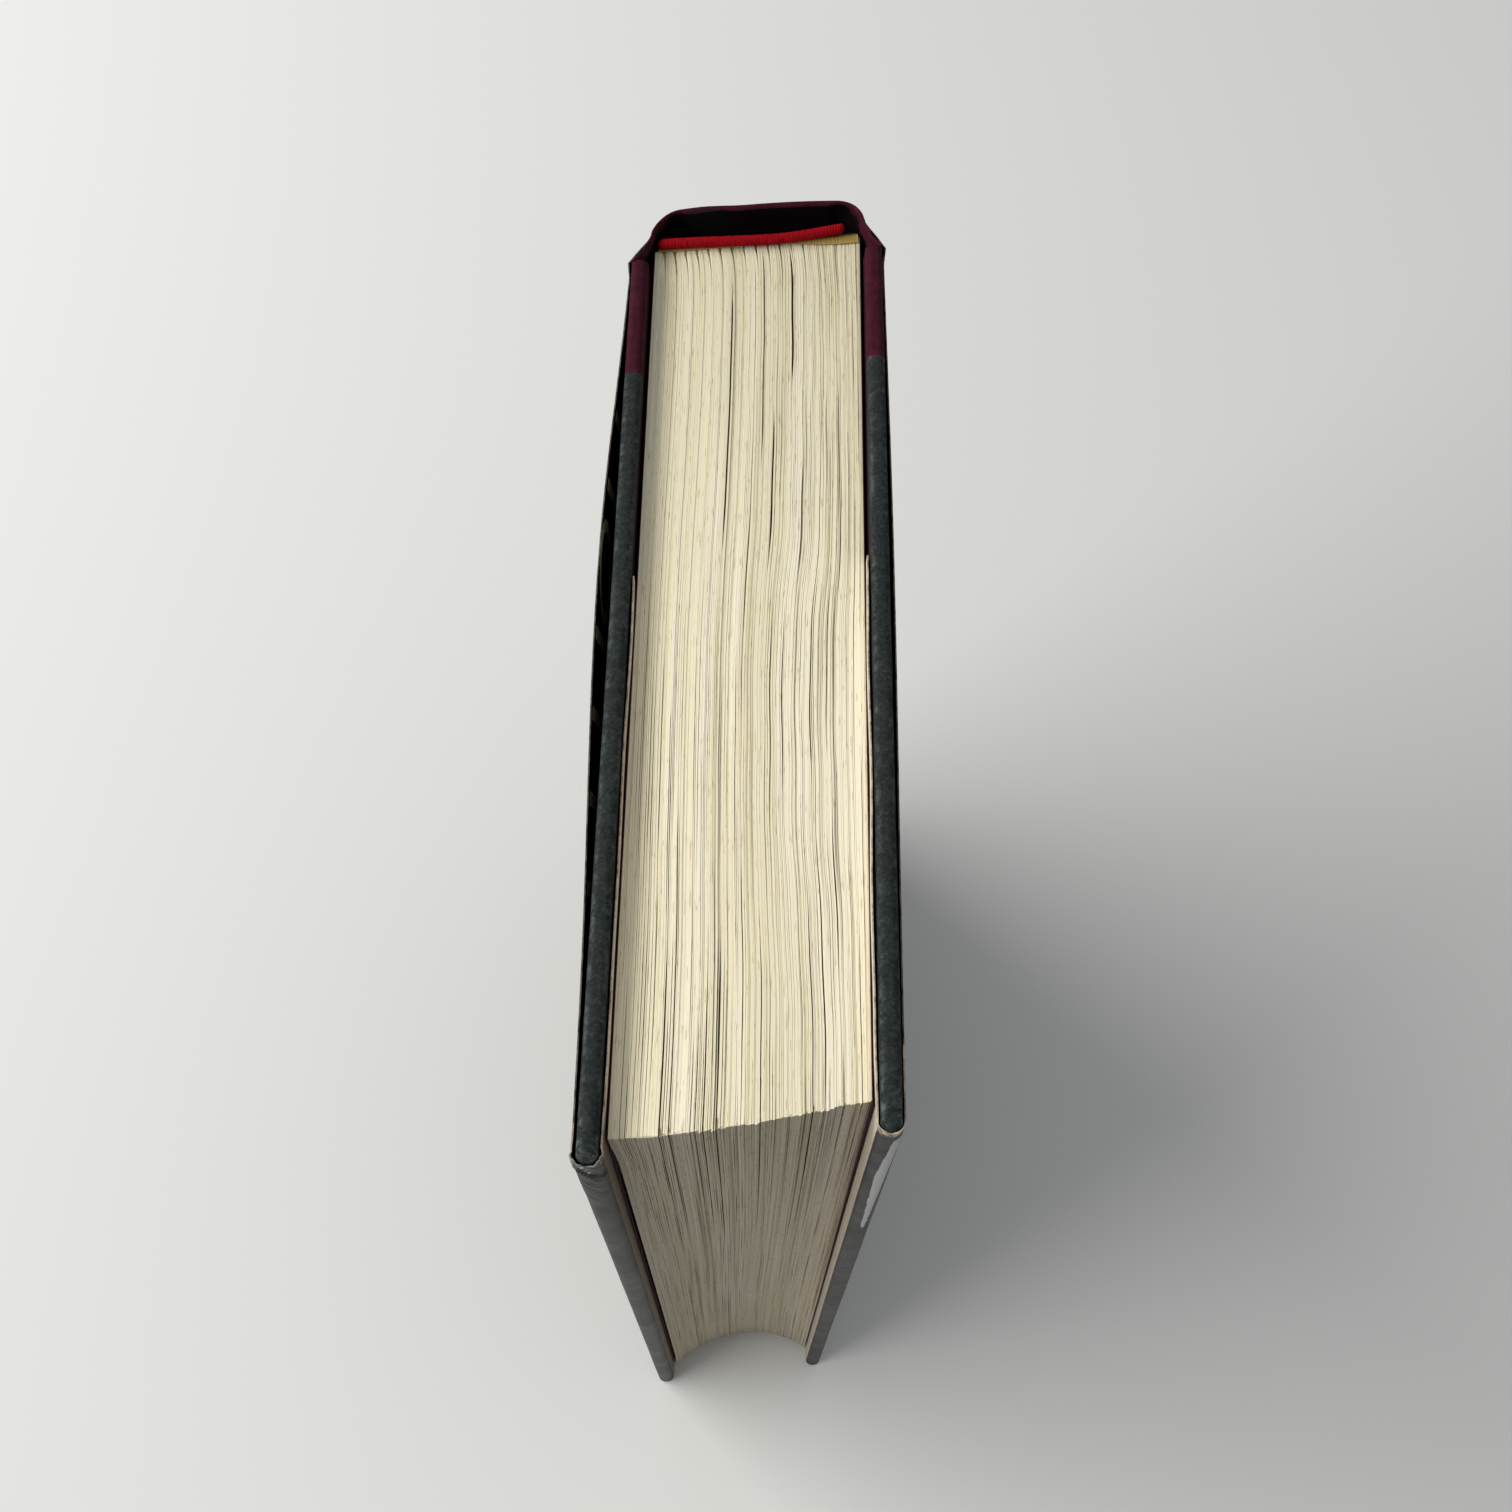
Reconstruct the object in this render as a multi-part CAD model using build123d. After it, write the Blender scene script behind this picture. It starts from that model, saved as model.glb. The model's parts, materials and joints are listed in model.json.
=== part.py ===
from build123d import *
import math
import os

# A sewn hardcover book in its paper jacket, standing on its tail, in millimetres.
# X runs through the thickness, front cover at -X, and Y runs from the fore-edge to the spine.
# The pieces are laid out with y = 0 at the boards' fore-edge, and the book is centred at the end.

# Leaves at their trimmed size, sewn in gatherings that are thicker where the thread lies
leaf_height = 235.0
leaf_width = 155.6
fore_edge_thick = 33.8
swell = 2.0
gathering_count = 18
gathering_round = 0.45
head_belly = 0.6
tail_hollow = 6.0
endpaper_thick = 0.15

# Boards, by how far they stand out past the leaves, and what covers them
square = 3.0
fore_edge_square = 3.8
joint_width = 5.4
board_thick = 3.0
board_round = 1.0
covering_thick = 0.2
turn_in = 15.0
cloth_reach = 25.3
paste_margin = 3.0

# Spine linings and bands
glue_line = 0.02
mull_thick = 0.2
mull_margin = 15.0
lining_thick = 0.25
band_radius = 0.9
band_overlap = 0.3
band_tape_height = 11.0
hollow_depth = 5.3
stiffener_thick = 0.5
stiffener_margin = 1.0
spine_round = 5.0
spine_crown = 1.2

# Paper jacket
jacket_set_down = 1.0
jacket_thick = 0.2
flap_width = 89.0
front_bow = 2.2
back_bow = 0.5
fold_round = 0.9

# Fit of the case on the leaves
cock = 4.7
cover_gap = 0.3
hinge_set = 2.7
hinge_gap = 0.15
groove_width = 0.7

# Places that follow from the sizes above
spine_thick = fore_edge_thick + swell
spine_y = fore_edge_square + leaf_width
tail_z = square
head_z = tail_z + leaf_height
board_height = leaf_height + 2 * square
board_width = spine_y - joint_width
jacket_height = board_height - jacket_set_down
hinge_y = board_width + hinge_set
splay = math.degrees(math.atan2(swell / 2, leaf_width))
cover_x = fore_edge_thick / 2 + endpaper_thick + cover_gap + jacket_thick
board_u = endpaper_thick + covering_thick
board_core = board_thick - 2 * covering_thick
outer_u = board_u + board_core + covering_thick
shell_half = spine_thick / 2 + endpaper_thick + cover_gap
lining_y = spine_y + glue_line + mull_thick
shell_y = lining_y + lining_thick + hollow_depth
hinge_x = cover_x + board_u + board_core + hinge_y * math.tan(math.radians(splay))


def cocked(x, y):
    """A point of the leaves or the spine, slid along Y as the book leans out of square."""
    return (x, y + cock * x / spine_thick)


def lean(x_half):
    """Distance and direction of an oblique extrusion from -x_half to x_half across the spine."""
    run = Vector(2 * x_half, 2 * x_half * cock / spine_thick, 0)
    return run.length, run.normalized()


def upright(plan, low, high):
    """The plan raised from z = low to z = high."""
    return Pos(0, 0, low) * extrude(plan, high - low)


def across(y_low, y_high, z_low, z_high, x_half):
    """A flat strip across the spine, with its faces leaning as the leaves do."""
    start_x, start_y = cocked(-x_half, y_low)
    plane = Plane(origin=(start_x, start_y, z_low), x_dir=(0, 1, 0), z_dir=(1, 0, 0))
    profile = Rectangle(y_high - y_low, z_high - z_low, align=(Align.MIN, Align.MIN))
    length, direction = lean(x_half)
    return extrude(plane * profile, length, dir=direction)


# Text block
def leaves_plan(fore_edge_bow):
    """Plan of the leaves: rounded gatherings at the spine and a bowed fore-edge."""
    front, back = fore_edge_thick / 2, spine_thick / 2
    pitch = spine_thick / gathering_count
    valley = spine_y - gathering_round
    edges = []
    for i in range(gathering_count):
        x = i * pitch - back
        start, crown, end = cocked(x, valley), cocked(x + pitch / 2, spine_y), cocked(x + pitch, valley)
        edges.append(ThreePointArc(start, crown, end))
    edges.append(Line(cocked(back, valley), cocked(front, fore_edge_square)))
    edges.append(
        ThreePointArc(
            cocked(front, fore_edge_square),
            cocked(0, fore_edge_square + fore_edge_bow),
            cocked(-front, fore_edge_square),
        )
    )
    edges.append(Line(cocked(-front, fore_edge_square), cocked(-back, valley)))
    return make_face(edges)


def text_block():
    """The leaves as one solid, hollow at the tail of the fore-edge and slightly full at its head."""
    tail = Pos(0, 0, tail_z) * leaves_plan(tail_hollow)
    head = Pos(0, 0, head_z) * leaves_plan(-head_belly)
    return loft([tail, head], ruled=True)


def flyleaf(side):
    """The free endpaper, lying on the outermost leaf."""
    front, back = fore_edge_thick / 2, spine_thick / 2
    valley = spine_y - gathering_round
    plan = Polyline(
        cocked(side * front, fore_edge_square),
        cocked(side * (front + endpaper_thick), fore_edge_square),
        cocked(side * (back + endpaper_thick), valley),
        cocked(side * back, valley),
        close=True,
    )
    return upright(make_face(plan), tail_z, head_z)


# Linings, bands and stiffener behind the leaves
def band(z_leaves, up):
    """A bead over the ends of the gatherings, on a tape glued down the spine."""
    half = spine_thick / 2 - gathering_round
    start_x, start_y = cocked(-half, spine_y)
    plane = Plane(origin=(start_x, start_y, z_leaves), x_dir=(0, 1, 0), z_dir=(1, 0, 0))
    bead = Pos(-band_overlap, up * (band_radius + glue_line)) * Circle(band_radius)
    tape = Pos(glue_line, up * band_radius) * Rectangle(
        mull_thick, band_tape_height, align=(Align.MIN, Align.MAX if up > 0 else Align.MIN)
    )
    length, direction = lean(half)
    return extrude(plane * (bead + tape), length, dir=direction)


def spine_mull():
    """Open-weave gauze over the gatherings, short of the bands at both ends."""
    return across(
        spine_y + glue_line, lining_y, tail_z + mull_margin, head_z - mull_margin, spine_thick / 2
    )


def spine_lining():
    """Paper glued over the gauze and the tapes of the bands."""
    half = spine_thick / 2 - gathering_round
    return across(lining_y, lining_y + lining_thick, tail_z, head_z, half)


# Back of the case and of the jacket, from hinge line to hinge line
def spine_plan(out):
    """Plan of all that lies within a distance out of the inside of the case's cloth."""
    half, start = shell_half + out, hinge_y + hinge_gap
    back = shell_y + stiffener_thick + out
    shoulder = back - spine_crown
    plan = make_face(
        [
            Line(cocked(-half, start), cocked(-half, shoulder)),
            ThreePointArc(cocked(-half, shoulder), cocked(0, back), cocked(half, shoulder)),
            Line(cocked(half, shoulder), cocked(half, start)),
            Line(cocked(half, start), cocked(-half, start)),
        ]
    )
    shoulders = [side.sort_by(Axis.Y)[-1] for side in plan.vertices().group_by(Axis.X)]
    return fillet(shoulders, spine_round + out)


def spine_shell(out, thick, height):
    """A sheet bent round the back of the book, crowned between its rounded shoulders."""
    return upright(spine_plan(out + thick) - spine_plan(out), 0, height)


def spine_stiffener():
    """Card strip curved with the back of the case, on the stretch between its rounded shoulders."""
    half = shell_half - spine_round - stiffener_margin
    stretch = slab((-half, half), (0, 2 * shell_y), (covering_thick, board_height - covering_thick))
    return spine_shell(-stiffener_thick, stiffener_thick, board_height) & stretch


# Covers, drawn flat with u = 0 on the inside of the pastedown and v = 0 at the fore-edge
def slab(u, v, z):
    """A block between two limits along each of u, v and z."""
    size = [high - low for low, high in (u, v, z)]
    return Pos(u[0], v[0], z[0]) * Box(*size, align=(Align.MIN, Align.MIN, Align.MIN))


def rounded_slab(u, v, z, radius):
    """A slab with every edge rounded but those at its spine end."""
    solid = slab(u, v, z)
    spine_end = solid.faces().sort_by(Axis.Y)[-1]
    free = [e for e in solid.edges() if all(not e.is_same(s) for s in spine_end.edges())]
    return fillet(free, radius)


def board():
    """The board itself, inside its covering."""
    return rounded_slab(
        (board_u, board_u + board_core),
        (covering_thick, board_width),
        (covering_thick, board_height - covering_thick),
        board_round,
    )


def covering():
    """Everything wrapped round the board: outside, three edges, and turn-ins on the inside."""
    skin = rounded_slab(
        (endpaper_thick, outer_u), (0, board_width), (0, board_height), board_round + covering_thick
    )
    window = slab(
        (0, board_u), (turn_in, board_width), (turn_in, board_height - turn_in)
    )
    return skin - board() - window


def side_paper():
    """The part of the covering in paper, from the fore-edge to the edge of the cloth."""
    keep = slab((0, outer_u), (0, board_width - cloth_reach), (0, board_height))
    return covering() & keep


def joint_line(out):
    """Inner line of a sheet that drops from the board's outside into the groove at the hinge."""
    return [
        (outer_u - covering_thick + out, board_width),
        (out - jacket_thick, hinge_y - groove_width + out / 2),
        (out - jacket_thick, hinge_y - hinge_gap),
    ]


def cover_cloth():
    """The part of the covering in cloth, with its strip across the joint to the hinge line."""
    keep = slab((0, outer_u), (board_width - cloth_reach, board_width), (0, board_height))
    strip = make_face(Polyline(*joint_line(0), *reversed(joint_line(covering_thick)), close=True))
    return covering() & keep, upright(strip, 0, board_height)


def pastedown():
    """Endpaper pasted on the inside of the board, filling the window between the turn-ins."""
    sheet = slab(
        (0, endpaper_thick), (paste_margin, board_width), (tail_z, head_z)
    )
    bed = slab(
        (endpaper_thick, board_u), (turn_in, board_width), (turn_in, board_height - turn_in)
    )
    return sheet + bed


def jacket_cover(bow):
    """Jacket panel and flap, one folded sheet: groove, bowed panel, fore-edge fold, flap."""
    outside = joint_line(covering_thick)
    panel_end, fore_end = outside[0], (outer_u, fold_round)
    panel_mid = (outer_u + bow, board_width / 2)
    inside = [
        Polyline(*reversed(outside)),
        ThreePointArc(panel_end, panel_mid, fore_end),
        FilletPolyline(fore_end, (outer_u, 0), (0, 0), (0, flap_width), radius=fold_round / 2),
    ]
    outline = offset(Wire([e for line in inside for e in line.edges()]), jacket_thick, side=Side.LEFT)
    return upright(make_face(outline), 0, jacket_height)


def placed(solid, side):
    """A flat cover piece set on its side of the book, splayed by the swell and shifted by the lean."""
    turned = Pos(cover_x, 0, 0) * Rot(0, 0, -splay) * solid
    if side < 0:
        turned = mirror(turned, about=Plane.YZ)
    return Pos(0, side * cock / 2, 0) * turned


def cover(name, side, bow):
    """Every piece that turns with one cover."""
    wrap, strip = cover_cloth()
    return {
        f"{name}_board": placed(board(), side),
        f"{name}_side_paper": placed(side_paper(), side),
        f"{name}_cloth": placed(wrap + strip, side),
        f"{name}_pastedown": placed(pastedown(), side),
        f"jacket_{name}": placed(jacket_cover(bow), side),
    }


pieces = {
    "text_block": text_block(),
    "front_flyleaf": flyleaf(-1),
    "back_flyleaf": flyleaf(1),
    "headband": band(head_z, 1),
    "tailband": band(tail_z, -1),
    "spine_mull": spine_mull(),
    "spine_lining": spine_lining(),
    "spine_stiffener": spine_stiffener(),
    "spine_cloth": spine_shell(0, covering_thick, board_height),
    "jacket_spine": spine_shell(covering_thick, jacket_thick, jacket_height),
    **cover("front", -1, front_bow),
    **cover("back", 1, back_bow),
}

# The book is moved so that the middle of its outline in plan is the origin
middle = Compound(children=[Part() + piece for piece in pieces.values()]).bounding_box().center()
os.makedirs("parts", exist_ok=True)
for name, piece in pieces.items():
    export_step(Pos(-middle.X, -middle.Y, 0) * piece, f"parts/{name}.step")

for name, side in (("front", -1), ("back", 1)):
    x, y = side * hinge_x - middle.X, hinge_y + side * cock / 2 - middle.Y
    print(f"{name} cover turns about x {x:.3f}, y {y:.3f}")
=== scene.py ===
# %% [markdown]
# A sewn hardcover book stands on its tail, seen from above its fore-edge. The imported model gives
# the construction: leaves, boards, cloth, bands and jacket at their real size. This file gives the
# looks. Every new piece is a surface worked out with numpy from a few sizes in millimetres, and
# each finish is a node material named for the real paper, cloth or thread, or for painted shade.

# %% Load the imported model
import json
import math
import bmesh
import bpy
import numpy as np
from mathutils import Matrix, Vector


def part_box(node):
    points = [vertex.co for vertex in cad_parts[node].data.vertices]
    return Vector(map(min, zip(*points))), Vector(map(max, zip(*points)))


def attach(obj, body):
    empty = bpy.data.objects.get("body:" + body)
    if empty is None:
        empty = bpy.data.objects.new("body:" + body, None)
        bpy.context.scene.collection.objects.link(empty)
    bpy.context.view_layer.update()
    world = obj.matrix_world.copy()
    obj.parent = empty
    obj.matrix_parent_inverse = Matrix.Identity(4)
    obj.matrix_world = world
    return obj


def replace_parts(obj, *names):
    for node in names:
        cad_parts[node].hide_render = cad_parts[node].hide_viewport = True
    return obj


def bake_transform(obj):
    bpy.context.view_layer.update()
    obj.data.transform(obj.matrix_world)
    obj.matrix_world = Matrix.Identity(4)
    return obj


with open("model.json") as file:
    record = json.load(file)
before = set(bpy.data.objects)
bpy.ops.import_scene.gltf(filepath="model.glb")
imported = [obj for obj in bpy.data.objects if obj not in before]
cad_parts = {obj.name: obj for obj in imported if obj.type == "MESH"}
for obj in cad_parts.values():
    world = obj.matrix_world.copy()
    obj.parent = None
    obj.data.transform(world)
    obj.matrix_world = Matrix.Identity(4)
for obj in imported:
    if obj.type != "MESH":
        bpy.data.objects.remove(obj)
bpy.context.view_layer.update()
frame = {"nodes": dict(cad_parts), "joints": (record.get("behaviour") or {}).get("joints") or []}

# %% [markdown]
# The book leans out of square: the back cover has slid towards the spine and the front cover away
# from it, as happens to a thick book that is read from front to back. The two hinges show by how
# much. Places on the leaves are given by t, from -1 at the front to 1 at the back, and by v, the
# distance from the boards' fore-edge. Places on a cover are given by u, outwards from the inside of
# its pastedown, and by v. Small functions turn them into points of the frame, in millimetres.

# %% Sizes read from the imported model
MM = 0.001
FRONT, BACK = -1, 1
WORD = {FRONT: "front", BACK: "back"}
hinge_of = {j["name"]: np.array(j["pos_m"]) / MM for j in frame["joints"]}
hinge = {side: hinge_of[f"{WORD[side]}_cover_hinge"] for side in (FRONT, BACK)}
leaves_low, leaves_high = (np.array(corner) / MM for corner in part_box("text_block"))
(_, board_corner), (_, jacket_corner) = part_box("front_side_paper"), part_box("jacket_front")

LEAF_TAIL, LEAF_HEAD = leaves_low[2], leaves_high[2]
BOARD_TOP, JACKET_TOP = board_corner[2] / MM, jacket_corner[2] / MM
SPINE_HALF = (leaves_high[0] - leaves_low[0]) / 2
MIDDLE_X = (leaves_high[0] + leaves_low[0]) / 2
COCK = hinge[BACK][1] - hinge[FRONT][1]
sizes = {"leaf tail": LEAF_TAIL, "leaf head": LEAF_HEAD, "board top": BOARD_TOP, "cock": COCK}
print({name: round(float(size), 2) for name, size in sizes.items()})

# %% Sizes of leaves and case
SWELL_HALF = 1.0
FORE_HALF = SPINE_HALF - SWELL_HALF
SQUARE, LEAF_WIDTH = 3.8, 155.6
SPINE_V = SQUARE + LEAF_WIDTH
BOARD_WIDTH, HINGE_V = 154.0, 156.7
ORIGIN_Y = (hinge[FRONT][1] + hinge[BACK][1]) / 2 - HINGE_V
# Thickness of the pastedown, of cloth or cover paper, of the jacket and of a covered board
PASTEDOWN, COVERING, JACKET, CASE_THICK = 0.15, 0.2, 0.2, 3.0
OUTER_U = PASTEDOWN + CASE_THICK
COVER_X = FORE_HALF + 0.65
SPLAY = math.atan2(SWELL_HALF, LEAF_WIDTH)
print("cover splay, degrees", round(math.degrees(SPLAY), 2))


# %% Places on the leaves and the covers
def lean(x):
    """How far the book has slid towards the spine at x from its middle, in proportion to x."""
    return COCK * x / (2 * SPINE_HALF)


def leaf_point(t, v, z, slide=0.0):
    """x is t times the half thickness, which swells towards the spine, plus slide; y is v plus the
    lean; z is the height."""
    half = FORE_HALF + SWELL_HALF * (v - SQUARE) / LEAF_WIDTH
    x = t * half + slide
    return np.stack(np.broadcast_arrays(x + MIDDLE_X, v + lean(x) + ORIGIN_Y, z), -1)


def cover_plan(side, u, v):
    """Plan points of one cover: (u, v) turned by the splay about the fore-edge and slid by half of the
    lean."""
    x = COVER_X + u * math.cos(SPLAY) + v * math.sin(SPLAY)
    y = v * math.cos(SPLAY) - u * math.sin(SPLAY) + side * COCK / 2
    return np.stack([x, y], -1)


def raised(side, plan, z):
    """Plan points of one side at the heights z, in the frame, mirrored for the front."""
    x, y = side * plan[..., 0] + MIDDLE_X, plan[..., 1] + ORIGIN_Y
    return np.stack(np.broadcast_arrays(x, y, z), -1)


# %% [markdown]
# A sheet of paper or cloth could be a plane with a Solidify modifier. Here it is two grids of points,
# its two faces, with a rim where it ends, so that each face can have its own finish and the sheet its
# own folds. A mask drops the squares where the sheet is cut away, and the rim then follows the cut.
# The signed volume tells whether the faces point outwards; if it is negative, they are turned round.


# %% Sheets from two grids
def grid_quads(index):
    """Each square of a grid as its four point numbers, going round."""
    return np.stack((index[:-1, :-1], index[1:, :-1], index[1:, 1:], index[:-1, 1:]), -1)


def sheet(grids, across, along, keep=True):
    """Points, faces and UV of a sheet with two grids of points as its faces, and for each face 0 on the
    first side, 1 on the second and 2 on the rim. keep says which squares are there. The rim is one quad
    for each edge between a square that is there and one that is not."""
    rows, columns = grids[0].shape[:2]
    count = rows * columns
    index = np.arange(count).reshape(rows, columns)
    keep = np.ones((rows - 1, columns - 1), bool) & keep
    top = grid_quads(index)[keep]
    ring = np.pad(keep, 1)
    here, before = ring[1:, 1:-1], ring[:-1, 1:-1]
    a, b = index[:, :-1], index[:, 1:]
    rims = [(a, b, here & ~before), (b, a, before & ~here)]
    here, before = ring[1:-1, 1:], ring[1:-1, :-1]
    a, b = index[:-1, :], index[1:, :]
    rims += [(b, a, here & ~before), (a, b, before & ~here)]
    rim = np.concatenate([np.stack([p, q, q + count, p + count], -1)[m] for p, q, m in rims])
    faces = np.concatenate([top, top[:, ::-1] + count, rim])
    sides = np.repeat([0, 1, 2], [len(top), len(top), len(rim)])
    uv = np.stack(np.broadcast_arrays(across, along), -1).reshape(-1, 2)
    return np.concatenate([grid.reshape(-1, 3) for grid in grids]), faces, np.tile(uv, (2, 1)), sides


def signed_volume(points, faces):
    """A sixth of the sum of a . (b x c) over the triangles of the quads."""
    a, b, c, d = (points[faces[:, k]] for k in range(4))
    return (np.einsum("ij,ij->", a, np.cross(b, c)) + np.einsum("ij,ij->", a, np.cross(c, d))) / 6


def join_parts(*parts):
    """Several parts as one, with the point numbers moved along and the faces of each turned outwards."""
    starts = np.cumsum([0] + [len(part[0]) for part in parts[:-1]])
    faces = [f if signed_volume(p, f) > 0 else f[:, ::-1] for p, f, _, _ in parts]
    points, _, uv, slots = (np.concatenate(values) for values in zip(*parts))
    return points, np.concatenate([f + start for f, start in zip(faces, starts)]), uv, slots


# %% Mesh objects
def make_piece(
    name, points, faces, uv, materials, slots=None, ends=(), sharp=40.0, weld=False, marks=()
):
    """A mesh object from points in millimetres, quads, a UV in millimetres for each point, materials and
    the material number of each face. ends are extra faces of many corners. marks are named values from
    0 to 1 for each point, such as how rubbed it is, which the materials read."""
    flip = signed_volume(points, faces) < 0
    faces = faces[:, ::-1] if flip else faces
    extra = [list(e[::-1]) if flip else list(e) for e in ends]
    mesh = bpy.data.meshes.new(name)
    mesh.from_pydata((points * MM).tolist(), [], faces.tolist() + extra)
    layer = mesh.uv_layers.new(name="print")
    corner = np.empty(len(mesh.loops), np.int32)
    mesh.loops.foreach_get("vertex_index", corner)
    layer.data.foreach_set("uv", uv[corner].astype(np.float32).ravel())
    for word, values in dict(marks).items():
        mesh.attributes.new(word, "FLOAT", "POINT").data.foreach_set("value", values.astype(np.float32))
    for material in materials:
        mesh.materials.append(material)
    if slots is not None:
        mesh.polygons.foreach_set("material_index", np.append(slots, [0] * len(extra)).astype(np.int32))
    if weld:
        shape = bmesh.new()
        shape.from_mesh(mesh)
        bmesh.ops.remove_doubles(shape, verts=shape.verts, dist=1e-6)
        shape.to_mesh(mesh)
        shape.free()
    mesh.shade_smooth()
    mesh.set_sharp_from_angle(angle=math.radians(sharp))
    piece = bpy.data.objects.new(name, mesh)
    bpy.context.scene.collection.objects.link(piece)
    print(name, "faces", len(mesh.polygons))
    return piece


# %% [markdown]
# Colours are written as they look on a screen and turned to linear light by one function. One more
# function adds a node with its settings and links. Waves that never repeat in view stand in for
# handling: random numbers would do too, but a sum of sines with fixed phases is smooth and gives the
# same paper on every run.


# %% Colour and nodes
def linear(colour, alpha=1.0):
    """The sRGB curve undone for each channel of a hex colour."""
    channels = np.array([int(colour[i:i + 2], 16) for i in (1, 3, 5)]) / 255
    light = np.where(channels <= 0.04045, channels / 12.92, ((channels + 0.055) / 1.055) ** 2.4)
    return (*light.tolist(), alpha)


def add_node(owner, kind, inputs=(), stops=(), out=0, **settings):
    """Adds a node with its settings to a material or world, and fills its inputs, given in order or by
    their names or numbers, with values or other nodes' outputs. stops are the places and colours of a
    ramp. Returns the output named or numbered out."""
    tree = owner.node_tree
    node = tree.nodes.new("ShaderNode" + kind)
    for key, value in settings.items():
        setattr(node, key, value)
    for key, value in inputs.items() if isinstance(inputs, dict) else enumerate(inputs):
        if isinstance(value, bpy.types.NodeSocket):
            tree.links.new(value, node.inputs[key])
        else:
            node.inputs[key].default_value = value
    for k, (place, colour) in enumerate(stops):
        element = node.color_ramp.elements[k] if k < 2 else node.color_ramp.elements.new(place)
        element.position, element.color = place, linear(colour)
    return node.outputs[out] if node.outputs else None


def layered(material, blend, colour, *layers):
    """The colour with each layer's colour blended over it in turn, by the layer's strength."""
    for strength, tint in layers:
        inputs = {0: strength, 6: colour, 7: tint}
        colour = add_node(material, "Mix", inputs, out=2, data_type="RGBA", blend_type=blend)
    return colour


def together(material, operation, first, *values):
    """The values put together in turn by one operation."""
    for value in values:
        first = add_node(material, "Math", (first, value), operation=operation)
    return first


def new_material(name):
    """An empty node material."""
    material = bpy.data.materials.new(name)
    material.use_nodes = True
    material.node_tree.nodes.clear()
    return material


def finish(material, colour, rough, gloss, relief=None, strength=1.0, high=1.0):
    """The shader with its colour, roughness and specular level, and bumps from the relief, high in
    metres."""
    inputs = {"Base Color": colour, "Roughness": rough, "Specular IOR Level": gloss}
    if relief is not None:
        inputs["Normal"] = add_node(
            material, "Bump", {"Height": relief, "Strength": strength, "Distance": high}
        )
    add_node(material, "OutputMaterial", {"Surface": add_node(material, "BsdfPrincipled", inputs)})
    return material


# %% Waves and soft steps
def waves(position, lengths, phases):
    """The mean of sines of the position, one for each wave length and phase."""
    total = sum(np.sin(2 * np.pi * position / length + phase) for length, phase in zip(lengths, phases))
    return total / len(lengths)


def smooth(x, low, high):
    """0 below low, 1 above high and an S curve between them."""
    s = np.clip((x - low) / (high - low), 0, 1)
    return s * s * (3 - 2 * s)


print("a soft step from 0 to 4 at 1, 2 and 3:", smooth(np.arange(1, 4), 0, 4))

# %% [markdown]
# The leaves are bulky uncoated paper, cut by a guillotine. The cut faces are pale cream. Where leaves
# part a little they show thin dark lines, crisp near the fore-edge and faint in the middle of the
# book, and the blade leaves fine ticks along the leaves. A leaf is 0.12 mm thick, too fine to show,
# so the faint lines are drawn three or four leaves apart. A picture of page edges could carry all of
# this, but nodes stay sharp at any distance. The faint lines are drawn in the piece's own UV map,
# across the thickness in one direction and along the leaf in the other, and the dark ones are real
# gaps, with painted brown shade at their bottoms, kept in the gap attribute. The fore-edge is painted
# greyer than the head as shade, and the head is a little dusty towards the spine.

# %% Trimmed book paper
# Width across the leaves and length along them, mm, and detail of each pattern
LINES, TICKS, BUNDLE_TINT = (0.42, 120, 1.0), (0.13, 2.2, 2.0), (2.6, 90, 2.0)
FORE_EDGE_LENGTH = LEAF_HEAD - LEAF_TAIL


def trimmed_paper():
    """Cream, times faint lines, ticks and bundles, times painted brown shade in the gaps, times painted grey
    shade on the fore-edge and dust towards the spine. The head starts where the UV map's y is
    FORE_EDGE_LENGTH."""
    material = new_material("uncoated_book_paper_trimmed")
    uv = add_node(material, "UVMap", uv_map="print")
    patterns = []
    for apart, run, detail in (LINES, TICKS, BUNDLE_TINT):
        drawn_out = add_node(material, "Mapping", {"Vector": uv, "Scale": (0.5 / apart, 0.5 / run, 1)})
        inputs = {"Vector": drawn_out, "Scale": 1.0, "Detail": detail, "Roughness": 0.6}
        patterns.append(add_node(material, "TexNoise", inputs, noise_dimensions="2D"))
    fine, ticks, broad = patterns
    cream = add_node(
        material, "ValToRGB", {"Fac": broad}, [(0.36, "#EBE3C6"), (0.5, "#F0E8CC"), (0.64, "#F4EDD5")]
    )
    lines = add_node(
        material, "ValToRGB", {"Fac": fine}, [(0.29, "#C4BBA6"), (0.36, "#F3F0E9"), (0.43, "#FFFFFF")]
    )
    marks = add_node(material, "ValToRGB", {"Fac": ticks}, [(0.29, "#E2DACB"), (0.36, "#FFFFFF")])
    along = add_node(material, "SeparateXYZ", {"Vector": uv}, out="Y")
    head = FORE_EDGE_LENGTH
    plain = add_node(material, "MapRange", {"Value": along, 1: head + 40, 2: head + 105, 3: 0.6, 4: 0.2})
    # Painted shade: brown multiplied in at the bottom of each gap, by the gap attribute
    gap = add_node(material, "Attribute", out="Fac", attribute_name="gap")
    # Painted shade: the whole fore-edge, up to the head corner, is multiplied by grey
    on_fore_edge = add_node(material, "MapRange", {"Value": along, 1: head - 0.3, 2: head})
    painted_fore_edge_shade = add_node(material, "ValToRGB", {"Fac": on_fore_edge}, [(0.0, "#B7B4B6"), (1.0, "#FFFFFF")])
    settled = add_node(material, "MapRange", {"Value": along, 1: head + 60, 2: head + 155})
    dusty = add_node(material, "ValToRGB", {"Fac": settled}, [(0.0, "#FFFFFF"), (1.0, "#E8E8E3")])
    layers = ((plain, lines), (1.0, marks), (gap, linear("#57493A")), (1.0, painted_fore_edge_shade), (1.0, dusty))
    return finish(material, layered(material, "MULTIPLY", cream, *layers), 0.9, 0.2, fine, 0.2, 0.00006)
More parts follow.
